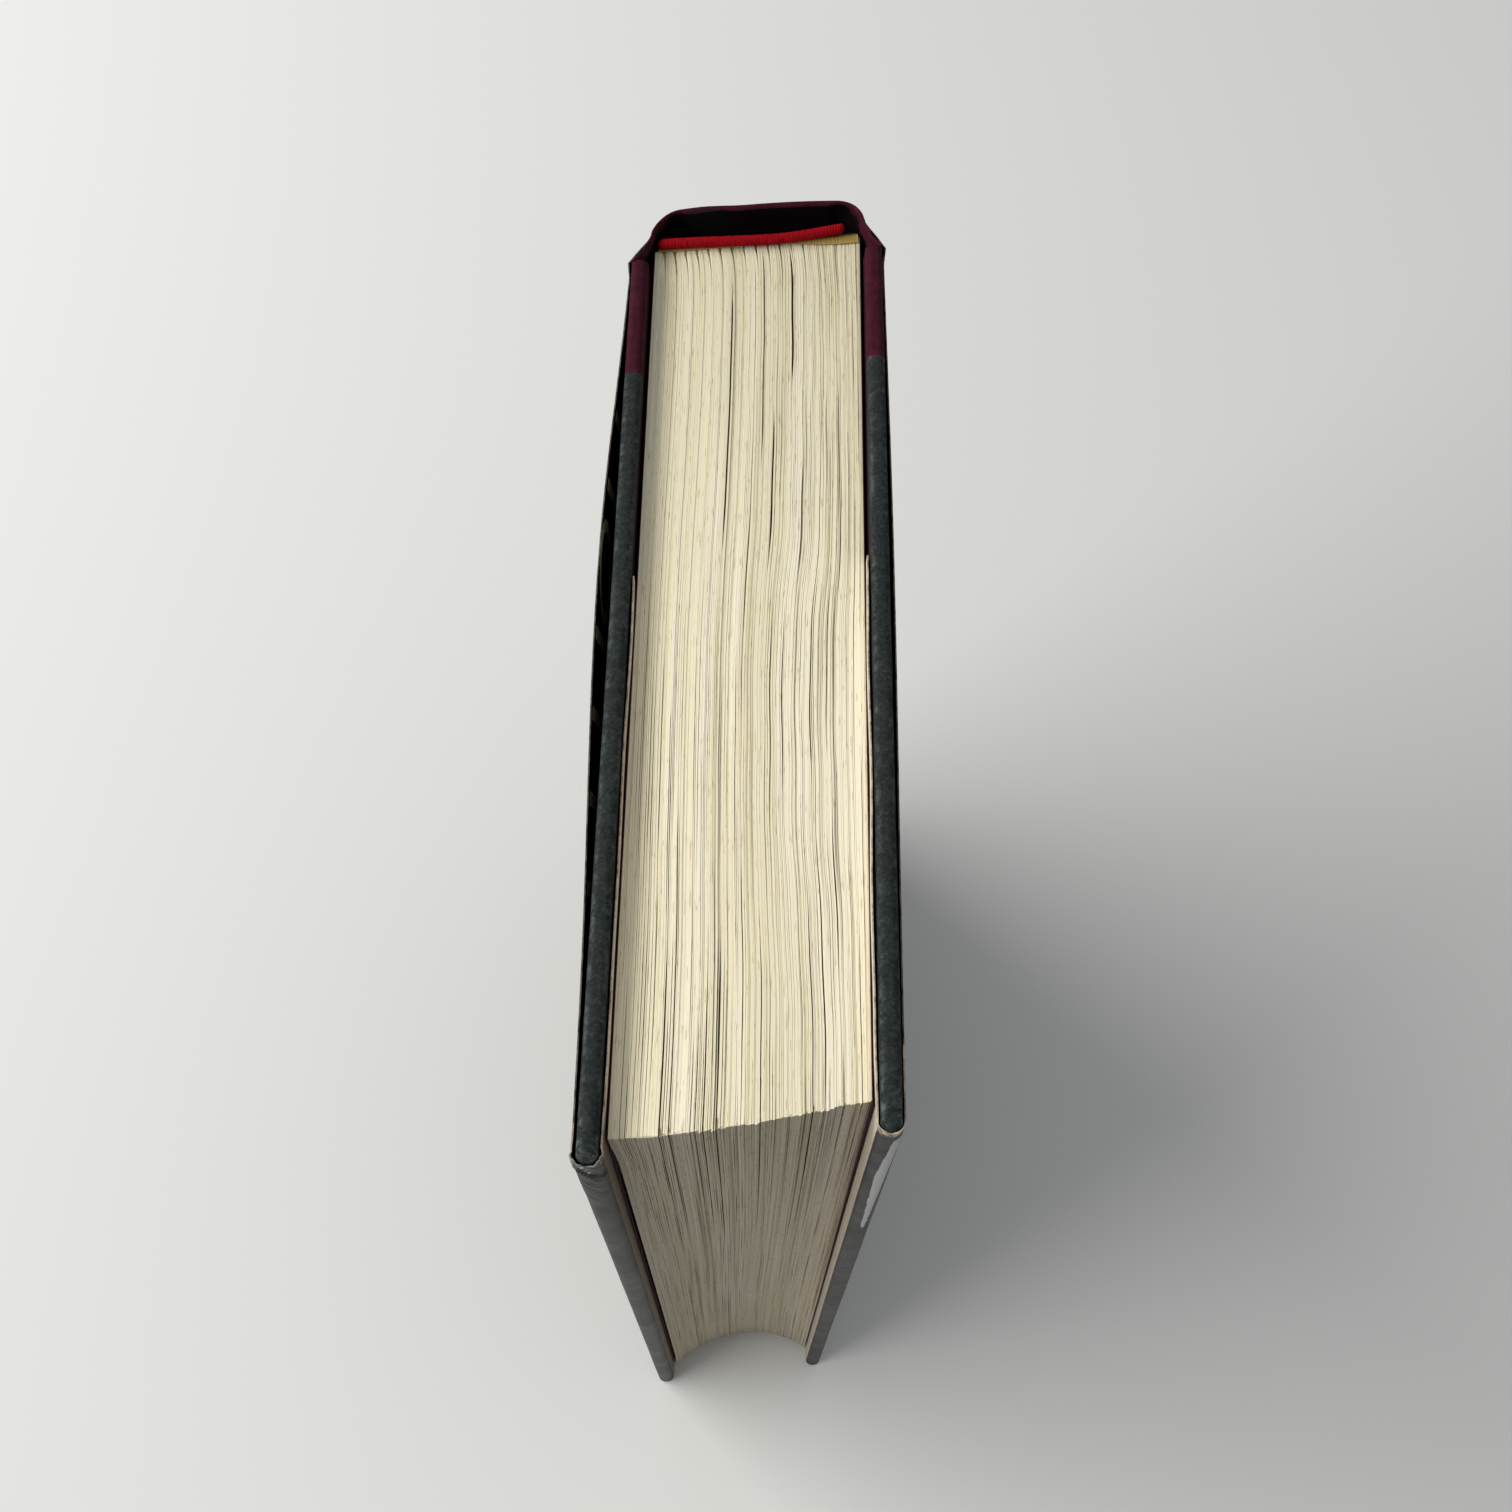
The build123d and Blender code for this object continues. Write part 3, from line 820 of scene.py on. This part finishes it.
def jacket_path(side):
    """Plan path from mid spine to the end of the flap, with the distance along it, v and the zone of
    each point. The panel bows off the board by a power of a sine, the fold is two quarter circles round
    the board's end, and the flap leans in towards the leaves."""
    back, _ = round_the_back(side, COVERING, COVERING + 0.45, JOINT_RISE, BOARD_WIDTH + 0.2, 0.45, 7)
    v_panel = np.linspace(BOARD_WIDTH - 1.5, FOLD_ROUND + 0.4, 96)[1:]
    swell = np.sin(np.pi * np.clip(v_panel / BOARD_WIDTH, 0, 1) ** 1.35) ** 1.5
    off = STAND_OFF[side] * (1 - smooth(v_panel, 30, 120))
    u_panel = OUTER_U + 0.03 + off + PANEL_BOW[side] * swell
    angle = np.linspace(0, np.pi / 2, 9)
    r, outside = FOLD_ROUND, OUTER_U + STAND_OFF[side]
    u_fold = np.concatenate([outside - r + r * np.cos(angle), r - 0.02 - r * np.sin(angle)])
    v_fold = np.concatenate([r - r * np.sin(angle), r - r * np.cos(angle)]) - 0.05
    v_flap = np.linspace(FOLD_ROUND + 0.6, FLAP_WIDTH, 70)
    u_flap = -0.02 - FLAP_OFF[side] * smooth(v_flap, 2, 14)
    u, v = np.concatenate([u_panel, u_fold, u_flap]), np.concatenate([v_panel, v_fold, v_flap])
    path = np.concatenate([back, cover_plan(side, u, v)])
    counts = [len(back), len(v_panel), len(v_fold), len(v_flap)]
    zone = np.repeat([SPINE_ZONE, PANEL_ZONE, FOLD_ZONE, FLAP_ZONE], counts)
    return path, distances(path), np.concatenate([np.full(len(back), BOARD_WIDTH), v]), zone


jacket_paths, fold_along, flap_along = {}, {}, {}
for side in (FRONT, BACK):
    jacket_paths[side] = jacket_path(side)
    _, along, _, zone = jacket_paths[side]
    fold_along[side] = float(along[zone == FOLD_ZONE].mean())
    flap_along[side] = float(along[zone == FLAP_ZONE][0])
print("from mid spine to fold and flap, mm", fold_along, flap_along)

# %% [markdown]
# The print itself stays out: only its colours and rough scale are here. Outside, the front has a plain
# olive frame with two rings in it, and the back and spine stay black. Inside, slanted olive bars and a
# ring show at the head, where the front panel bows away from its board. Images could carry them, but
# distances in the UV map draw them as sharp as print. Black varnished paper is dark but shines at a low
# angle, so at the fore-edge folds it is seen mostly by what it mirrors. Handling leaves smudges, which
# only change how sharply it shines, and has lifted a strip of the varnish film at the back, painted grey
# partly as a reflection. The cream flap beside the fold is painted darker as shade.

# %% Marks of the print
# Where black ends before the flap, the painted shade on the flap beside the fold, and sizes of the marks
PRINT_PAST_FOLD = {FRONT: -0.9, BACK: -1.3}
FLAP_SHADE_BY_FOLD = {FRONT: "#86807A", BACK: "#D8D9DE"}
BAR_APART = 13.0
RING_RADIUS, RING_WIDTH = 7.5, 1.0
FRAME_WIDE, FRAME_HIGH = 118.0, 204.0


def olive_marks(material, uv, along, height):
    """Slanted bars 0.314 / scale apart and one ring, within a field near the head."""
    slanted = add_node(material, "Mapping", {"Vector": uv, "Rotation": (0, 0, math.radians(22))})
    wave = add_node(material, "TexWave", {"Vector": slanted, "Scale": 0.314 / BAR_APART}, out="Fac")
    centre = (fold_along[FRONT] - 97, 231, 0)
    away = add_node(material, "VectorMath", (uv, centre), out="Value", operation="DISTANCE")
    bars = together(
        material, "MULTIPLY",
        add_node(material, "Math", (wave, 0.93), operation="GREATER_THAN"),
        add_node(material, "Math", (along, fold_along[FRONT] - 80, 52), operation="COMPARE"),
        add_node(material, "Math", (height, 220, 18), operation="COMPARE"),
        add_node(material, "Math", (away, RING_RADIUS + 3), operation="GREATER_THAN"),
    )
    ring = add_node(material, "Math", (away, RING_RADIUS, RING_WIDTH), operation="COMPARE")
    return together(material, "MAXIMUM", ring, bars)


def olive_frame(material, uv, along, height):
    """Lines where the larger of |x| less half the width and |y| less half the height is near 0 and near
    -2.6, and two rings in the middle."""
    centre_x, centre_y = fold_along[FRONT] - BOARD_WIDTH / 2, BOARD_TOP / 2
    sides = []
    for place, centre, size in ((along, centre_x, FRAME_WIDE), (height, centre_y, FRAME_HIGH)):
        offset = add_node(material, "Math", (place, centre), operation="SUBTRACT")
        offset = add_node(material, "Math", (offset,), operation="ABSOLUTE")
        sides.append(add_node(material, "Math", (offset, size / 2), operation="SUBTRACT"))
    edge = together(material, "MAXIMUM", *sides)
    at = (centre_x, centre_y + 34, 0)
    away = add_node(material, "VectorMath", (uv, at), out="Value", operation="DISTANCE")
    lines = (edge, 0.0, 0.6), (edge, -2.6, 0.25), (away, 22.0, 0.6), (away, 19.4, 0.25)
    lines = [add_node(material, "Math", line, operation="COMPARE") for line in lines]
    return together(material, "MAXIMUM", *lines)


# %% Printed jacket paper
def printed_paper(name, side, rough, print_marks, olive):
    """Black with olive marks on the front, cream past the fold with painted shade close to it, cream where
    it is rubbed, and grey where the varnish film has lifted, partly a painted reflection."""
    material, start = new_material(name), flap_along[side]
    uv = add_node(material, "UVMap", uv_map="print")
    along, height = (add_node(material, "SeparateXYZ", {"Vector": uv}, out=axis) for axis in "XY")
    inputs = {"Vector": uv, "Scale": 0.7, "Detail": 5.0, "Roughness": 0.65}
    dust = add_node(material, "TexNoise", inputs, noise_dimensions="2D")
    black = add_node(
        material, "ValToRGB", {"Fac": dust}, [(0.35, "#030303"), (0.6, "#080808"), (0.8, "#121111")]
    )
    cream = add_node(material, "ValToRGB", {"Fac": dust}, [(0.3, "#C9BBA3"), (0.6, "#DACDB8")])
    # Painted shade on the cream flap beside the fold, fading over a few millimetres
    clear_of_fold = add_node(material, "MapRange", {"Value": along, 1: start + 1.5, 2: start + 7})
    painted_flap_shade = add_node(material, "ValToRGB", {"Fac": clear_of_fold}, [(0.0, FLAP_SHADE_BY_FOLD[side]), (1.0, "#FFFFFF")])
    cream = layered(material, "MULTIPLY", cream, (1.0, painted_flap_shade))
    past = start + PRINT_PAST_FOLD[side]
    past_fold = add_node(material, "Math", (along, past), operation="GREATER_THAN")
    rub, lifted_film_and_reflection = (
        add_node(material, "Attribute", out="Fac", attribute_name=word) for word in ("rub", "lifted_film_and_reflection")
    )
    patchy = add_node(material, "MapRange", {"Value": dust, 1: 0.40, 2: 0.58})
    cracked = together(material, "MULTIPLY", rub, patchy)
    ragged = together(material, "ADD", lifted_film_and_reflection, dust)
    film_and_reflection = add_node(material, "Math", (ragged, 1.02), operation="GREATER_THAN")
    # The grey where the varnish film has lifted is partly a painted reflection
    layers = [(past_fold, cream), (cracked, linear("#B3A78F")), (film_and_reflection, linear("#A2A5A4"))]
    if side == FRONT:
        layers.insert(0, (print_marks(material, uv, along, height), linear(olive)))
    colour = layered(material, "MIX", black, *layers)
    inputs = {"Vector": uv, "Scale": 0.06, "Detail": 6.0, "Roughness": 0.7}
    smudge = add_node(material, "TexNoise", inputs, noise_dimensions="2D")
    inputs = {"Value": smudge, 1: 0.35, 2: 0.65, 3: rough - 0.04, 4: rough + 0.06}
    return finish(material, colour, add_node(material, "MapRange", inputs), 0.25, dust, 0.15, 0.0003)


def plain_stock(name, low, high, scale, rough, noise=(5.0, 0.65), stops=(0.32, 0.68), tooth=0.3):
    """Paper or card: noise in Object coordinates between two tones, with its detail and roughness, and
    with a little tooth."""
    material = new_material(name)
    place = add_node(material, "TexCoord", out="Object")
    inputs = {"Vector": place, "Scale": scale, "Detail": noise[0], "Roughness": noise[1]}
    fibres = add_node(material, "TexNoise", inputs)
    tone = add_node(material, "ValToRGB", {"Fac": fibres}, zip(stops, (low, high)))
    return finish(material, tone, rough, 0.2, fibres if tooth else None, tooth, 0.0001)


# The cut edge of the sheet, with its paper fibres, in the order of its material numbers
STAINED, BARE, CRUSHED = 2, 3, 4
edges = [
    plain_stock(name, low, high, 450.0, 0.85, (4.0, 0.7), (0.36, 0.66), tooth=0)
    for name, low, high in (
        ("jacket_edge_stained_black", "#242322", "#77726A"),
        ("jacket_paper_edge", "#7A6E5A", "#D8CDB8"),
        ("jacket_edge_crushed_film", "#4A4F51", "#A3A59F"),
    )
]
print("edges of the jacket", [edge.name for edge in edges])

# %% Folds and wear of the jacket
CRINKLE = {FRONT: 0.6, BACK: 0.1}
BARE_FROM_FOLD = {FRONT: 6.5, BACK: 12}
# The strip of lifted film at the back fold: its top and length, and at three places down it how far
# out from the fold its two edges lie
FILM_TOP, FILM_LONG = 236, 58
FILM_AT, FILM_NEAR, FILM_FAR = (0, 0.33, 1), (0.5, -0.35, 0.1), (1.8, 1.2, 0.6)


def creases(side, run, z):
    """How near each place is to the fold, by a bell curve, and to the head, and the sharp creases near
    the head, by the size of crossing waves."""
    near_head = smooth(z, JACKET_TOP - 26, JACKET_TOP - 2)
    sharp = np.abs(waves(z + 2.1 * run, (3.3, 5.3, 8.1), (0.2, 1.4, side))) * near_head
    return np.exp(-((run - fold_along[side]) / 3.0) ** 2), near_head, sharp


def jacket_sheet(side, path, run, v, zone, z):
    """The path raised from tail to head. Small waves run down the flap, the fold has soft dents all the
    way and sharp creases near the head, the panel is slack, and the head edge is ragged."""
    fold, _, sharp = creases(side, run, z)
    flap_wave = 0.11 * (waves(v + 0.12 * z, (33, 47), (1.1 + side, 0.2)) - 0.3) * smooth(v, 5, 18)
    dents = 0.5 + 0.5 * waves(z + 0.9 * run, (61, 97, 143), (0.9, 2.2, side))
    crinkle = fold * (CRINKLE[side] * sharp + 0.12 * dents)
    slack = (waves(z + 0.3 * v, (71, 113), (0.5, side)) + 1) * smooth(v, 8, 40) * (1 - smooth(v, 120, 150))
    lift = np.where(zone == FLAP_ZONE, flap_wave, crinkle)
    lift = (lift - (zone == PANEL_ZONE) * PANEL_BOW[side] * 0.07 * slack) * (zone != SPINE_ZONE)
    worn = 0.35 * np.abs(waves(run, (3.1, 5.7), (0.3, 1.9))) * fold
    nicks = 0.08 * np.abs(waves(run, (9, 23), (1, 2)))
    height = z - (worn + nicks) * smooth(z, JACKET_TOP - 3, JACKET_TOP)
    return sheet(both_faces(side, path, (lift + JACKET, lift), height), run, z)


def jacket_wear(side, run, z):
    """How rubbed each place is, most along the head and the corners of the fold, and where the varnish
    film has lifted, which is painted grey partly as a reflection: in a strip beside the back fold, and
    over the crushed head of the front fold."""
    fold, near_head, sharp = creases(side, run, z)
    out = fold_along[side] - run
    corners = np.exp(-((np.abs(out) - 2.2) / 0.4) ** 2)
    along_head = (1 - smooth(out, 2, 12)) * smooth(z, JACKET_TOP - 2.6, JACKET_TOP - 0.4)
    crushed = (side == FRONT) * fold
    rub = np.clip(along_head + 0.05 * corners + crushed * near_head * 0.5 * sharp, 0, 1)
    rub = rub * (run < flap_along[side]) * (1 - 0.7 * crushed)
    down, foot = (FILM_TOP - z) / FILM_LONG, FILM_TOP - FILM_LONG
    near, far = np.interp(down, FILM_AT, FILM_NEAR), np.interp(down, FILM_AT, FILM_FAR)
    film_and_reflection = smooth(out, near - 0.25, near + 0.25) * (1 - smooth(out, far - 0.25, far + 0.25))
    film_and_reflection = (side == BACK) * film_and_reflection * smooth(z, foot - 2, foot + 6) * (z < FILM_TOP)
    lifted_film_and_reflection = film_and_reflection + crushed * smooth(z, JACKET_TOP - 9, JACKET_TOP - 1) * (0.35 + 0.4 * sharp)
    return {"rub": np.tile(rub.ravel(), 2), "lifted_film_and_reflection": np.tile(lifted_film_and_reflection.ravel(), 2)}


# %% The jacket in two halves
def jacket_half(side):
    """The sheet of one side, with its wear and print. Its cut edge is stained black where it is printed,
    bare near the fold and past it, and crushed at the front fold."""
    path, along, v, zone = jacket_paths[side]
    run, word = along[:, None], WORD[side]
    z = [np.linspace(0, JACKET_TOP - 30, 60), np.linspace(JACKET_TOP - 30, JACKET_TOP, 60)[1:]]
    z = np.concatenate(z)
    points, faces, uv, slots = jacket_sheet(side, path, run, v[:, None], zone[:, None], z)
    past_fold = uv[faces].mean(1)[:, 0] - fold_along[side]
    bare = (past_fold > -BARE_FROM_FOLD[side]) & (slots == STAINED)
    crushed = bare & (side == FRONT) & (abs(past_fold) < 2.6)
    slots = np.where(crushed, CRUSHED, np.where(bare, BARE, slots))
    materials = [
        printed_paper(f"gloss_jacket_paper_{word}", side, 0.48, olive_frame, "#A39B6C"),
        printed_paper(f"jacket_paper_inside_{word}", side, 0.6, olive_marks, "#E6DCA6"),
        *edges,
    ]
    marks = jacket_wear(side, run, z)
    piece = make_piece(
        f"jacket_half_{word}", points, faces, uv, materials, slots, sharp=50, marks=marks
    )
    bend_at_joint(piece)
    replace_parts(piece, f"jacket_{word}", "jacket_spine")


for side in (FRONT, BACK):
    jacket_half(side)

# %% [markdown]
# Headbands hide the glued folds at both ends of the spine. Red silk is wound over a cord, and the
# cord is sewn to a cotton tape glued down the back. A curve with a bevel could be the cord, but not
# its windings: the bead is a tube whose radius rises with each turn of thread. At the back cover the
# head's bead has come away and shows its tape.

# %% Silk and cotton
# Radius of the bead and width of one turn of thread
BEAD, THREAD = 0.86, 0.5


def silk(name, low, high):
    """Noise stretched along the thread, between two tones and in low relief."""
    material = new_material(name)
    uv = add_node(material, "UVMap", uv_map="print")
    inputs = {"Vector": add_node(material, "Mapping", {"Vector": uv, "Scale": (4.0, 0.6, 1)})}
    fibres = add_node(material, "TexNoise", inputs | {"Scale": 1.0, "Detail": 3.0}, noise_dimensions="2D")
    tone = add_node(material, "ValToRGB", {"Fac": fibres}, [(0.3, low), (0.7, high)])
    return finish(material, tone, 0.7, 0.08, fibres, 0.5, 0.0001)


red_silk = silk("red_silk_thread", "#70010A", "#A20315")
cotton = silk("ochre_cotton_tape", "#8F7238", "#BFA264")
print("threads on a head band", round(2 * SPINE_HALF / THREAD))


# %% Bands
def bead(z_leaves, up, loose):
    """A flattened tube along the spine, radius BEAD times 1 less a ripple of one thread, closed at its
    ends. Where it is loose it lies further back, most at the front cover, and near the back cover it
    also rises."""
    t = np.linspace(-0.985, 0.86, 470)[:, None]
    angle = np.linspace(0, 2 * np.pi, 19)
    length = (t + 1) * SPINE_HALF
    ripple = 1 - 0.05 * np.abs(np.sin(np.pi * length / THREAD + 0.5 * np.sin(angle)))
    towards_end = (abs(length - length.mean()) - length.max() / 2 + 1.2) / 0.9
    end = np.sqrt(np.clip(1 - towards_end.clip(0, 1) ** 2, 0, 1))
    radius = (BEAD - 0.04) * ripple * end
    away = loose * smooth(t, 0.1, 1.3)
    slid = loose * 0.85 * (1 - smooth(t, -1.0, 0.3))
    v = SPINE_V - 0.4 + 1.25 * radius * np.cos(angle) + slid + 1.5 * away
    z = z_leaves + up * (BEAD + 0.04) + radius * np.sin(angle) + up * 0.5 * away
    points = leaf_point(t + 0 * angle, v, z)
    uv = np.stack(np.broadcast_arrays(length, BEAD * angle), -1)
    faces = grid_quads(np.arange(v.size).reshape(v.shape)).reshape(-1, 4)
    return points.reshape(-1, 3), faces, uv.reshape(-1, 2), np.zeros(len(faces), int)


def tape(z_leaves, up):
    """A strip up the back of the gatherings that turns forward over their ends, under the bead, further
    where the bead is loose. down_back is 1 on the back of the gatherings and 0 over their ends."""
    t = np.linspace(-0.97, 0.985, 50)[:, None]
    forward = 0.5 + 1.3 * smooth(t, 0.1, 0.8)
    v = np.concatenate([np.full((50, 8), SPINE_V + 0.13), SPINE_V - 0.1 - np.linspace(0, 1, 5) * forward], 1)
    z = np.concatenate([np.linspace(-10.5, -0.1, 8), np.linspace(0.0, 0.02, 5)])
    down_back = np.repeat([1, 0], [8, 5])
    grids = [
        leaf_point(t, v + down_back * out, z_leaves + up * (z + (1 - down_back) * out + 0.05))
        for out in (0.09, -0.09)
    ]
    points, faces, uv, sides = sheet(grids, t * SPINE_HALF, z)
    return points, faces, uv, sides * 0 + 1


def band_piece(name, z_leaves, up, loose):
    """Bead and tape as one piece on the block."""
    points, faces, uv, slots = join_parts(bead(z_leaves, up, loose), tape(z_leaves, up))
    piece = make_piece(name, points, faces, uv, [red_silk, cotton], slots, weld=True)
    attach(piece, "book_block")
    return piece


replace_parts(band_piece("head_band_of_silk", LEAF_HEAD, 1, 1.0), "headband")
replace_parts(band_piece("tail_band_of_silk", LEAF_TAIL, -1, 0.0), "tailband")

# %% [markdown]
# The flat hidden papers, the gauze, the card and the endpapers keep their shapes from the packed
# model, where they are already thin sheets in their places, so there is nothing to gain by drawing
# them again. Each gets its own finish: dark maroon endpaper, brown lining paper, grey board, card
# painted near black as the shade in the hollow back, and starched gauze.

# %% Finishes for the pieces that keep their shape
# Name, two tones, noise scale for each metre, roughness and the pieces it is for
STOCK = (
    ("maroon_endpaper", "#2A0B16", "#3A121D", 700.0, 0.85,
     ("front_flyleaf", "back_flyleaf", "front_pastedown", "back_pastedown")),
    ("brown_lining_paper", "#4E3A24", "#6E5536", 500.0, 0.85, ("spine_lining",)),
    ("grey_board", "#3E3A34", "#57524A", 600.0, 0.9, ("front_board", "back_board")),
    # Painted shade: the spine card is near black for the shade in the hollow back
    ("black_spine_card", "#030202", "#070505", 500.0, 0.9, ("spine_stiffener",)),
    ("starched_gauze", "#A89D80", "#CBC2A6", 1500.0, 0.9, ("spine_mull",)),
)
for *look, names in STOCK:
    material = plain_stock(*look)
    for name in names:
        mesh = frame["nodes"][name].data
        mesh.materials.clear()
        mesh.materials.append(material)
    print(material.name, "on", *names)

# %% [markdown]
# The floor is plain and pale. One large soft light stands up to the left and a little behind, so the
# left board throws a narrow soft shadow on the leaves, the fore-edge lies in shade, and the floor
# darkens to the right of the book. A dim even sky fills the rest. A picture of a room could light it
# too, but one lamp gives one clear shadow.

# %% Floor
FLOOR_HALF = 3.0


def pale_floor():
    """A large square on z = 0 in matt off-white."""
    corners = np.array([[-1, -1, 0], [1, -1, 0], [1, 1, 0], [-1, 1, 0]]) * FLOOR_HALF
    mesh = bpy.data.meshes.new("floor")
    mesh.from_pydata(corners.tolist(), [], [(0, 1, 2, 3)])
    mesh.materials.append(finish(new_material("pale_matt_floor"), linear("#D9DAD8"), 0.8, 0.2))
    floor = bpy.data.objects.new("floor", mesh)
    bpy.context.scene.collection.objects.link(floor)


pale_floor()
print("floor", 2 * FLOOR_HALF, "metres square")

# %% Light
BOOK_MIDDLE = (0, 0, 0.15)
ROOM_FRONT, ROOM_BACK = 0.38, 0.5


def soft_light(name, at, wide, high, power, colour):
    """An area light at a point, wide along the floor and high across it, aimed at the middle of the book."""
    lamp = bpy.data.lights.new(name, "AREA")
    lamp.shape, lamp.size, lamp.size_y, lamp.energy = "RECTANGLE", wide, high, power
    lamp.color = linear(colour)[:3]
    light = bpy.data.objects.new(name, lamp)
    back = np.array(at) - BOOK_MIDDLE
    back /= np.linalg.norm(back)
    across = np.cross((0, 0, 1), back)
    across /= np.linalg.norm(across)
    turn = Matrix(np.stack([across, np.cross(back, across), back], 1).tolist()).to_4x4()
    light.matrix_world = Matrix.Translation(at) @ turn
    bpy.context.scene.collection.objects.link(light)


def dim_room():
    """Even light from all round, dimmer from the camera's side, by the direction's y."""
    world = bpy.data.worlds.new("room")
    world.use_nodes = True
    direction = add_node(world, "TexCoord", out="Generated")
    inputs = {"Value": add_node(world, "SeparateXYZ", {"Vector": direction}, out="Y")}
    glow = add_node(world, "MapRange", inputs | {1: -0.8, 2: 0.6, 3: ROOM_FRONT, 4: ROOM_BACK})
    back = world.node_tree.nodes["Background"]
    world.node_tree.links.new(glow, back.inputs["Strength"])
    back.inputs["Color"].default_value = linear("#F6F7F9")
    bpy.context.scene.world = world


soft_light("window", (-1.5, 0.1, 1.25), 2.6, 0.5, 46.0, "#FFFDF9")
dim_room()
bpy.context.scene.view_settings.view_transform = "Standard"
print("room light", ROOM_FRONT, "to", ROOM_BACK)

# %% [markdown]
# The camera is where the photograph was taken from: above the fore-edge, looking down at about 62
# degrees, a hand-held wide view turned by a degree. Its place comes from matching corners of the
# boards and leaves with the photograph. Turning it by eye would do for a sketch, but its three axes
# are worked out from yaw, pitch and roll, so each can be set alone.

# %% Camera
CAMERA_AT = (0.84, -47.7, 433.6)
YAW, PITCH, ROLL = (math.radians(a) for a in (0.19, 61.85, -1.17))
FOCAL_PIXELS, FRAME_PIXELS = 1535.0, 1512.0

flat = math.cos(PITCH)
forward = np.array([math.sin(YAW) * flat, math.cos(YAW) * flat, -math.sin(PITCH)])
level = np.cross(forward, (0, 0, 1))
level /= np.linalg.norm(level)
down = np.cross(forward, level)
right = math.cos(ROLL) * level + math.sin(ROLL) * down
up = math.sin(ROLL) * level - math.cos(ROLL) * down
turn = Matrix(np.stack([right, up, -forward], 1).tolist()).to_4x4()

lens = bpy.data.cameras.new("camera")
lens.sensor_width = 36.0
lens.lens = lens.sensor_width * FOCAL_PIXELS / FRAME_PIXELS
camera = bpy.data.objects.new("camera", lens)
camera.matrix_world = Matrix.Translation((np.array(CAMERA_AT) + (MIDDLE_X, ORIGIN_Y, 0)) * MM) @ turn
bpy.context.scene.collection.objects.link(camera)
bpy.context.scene.camera = camera
print("camera focal length, mm", round(lens.lens, 2))
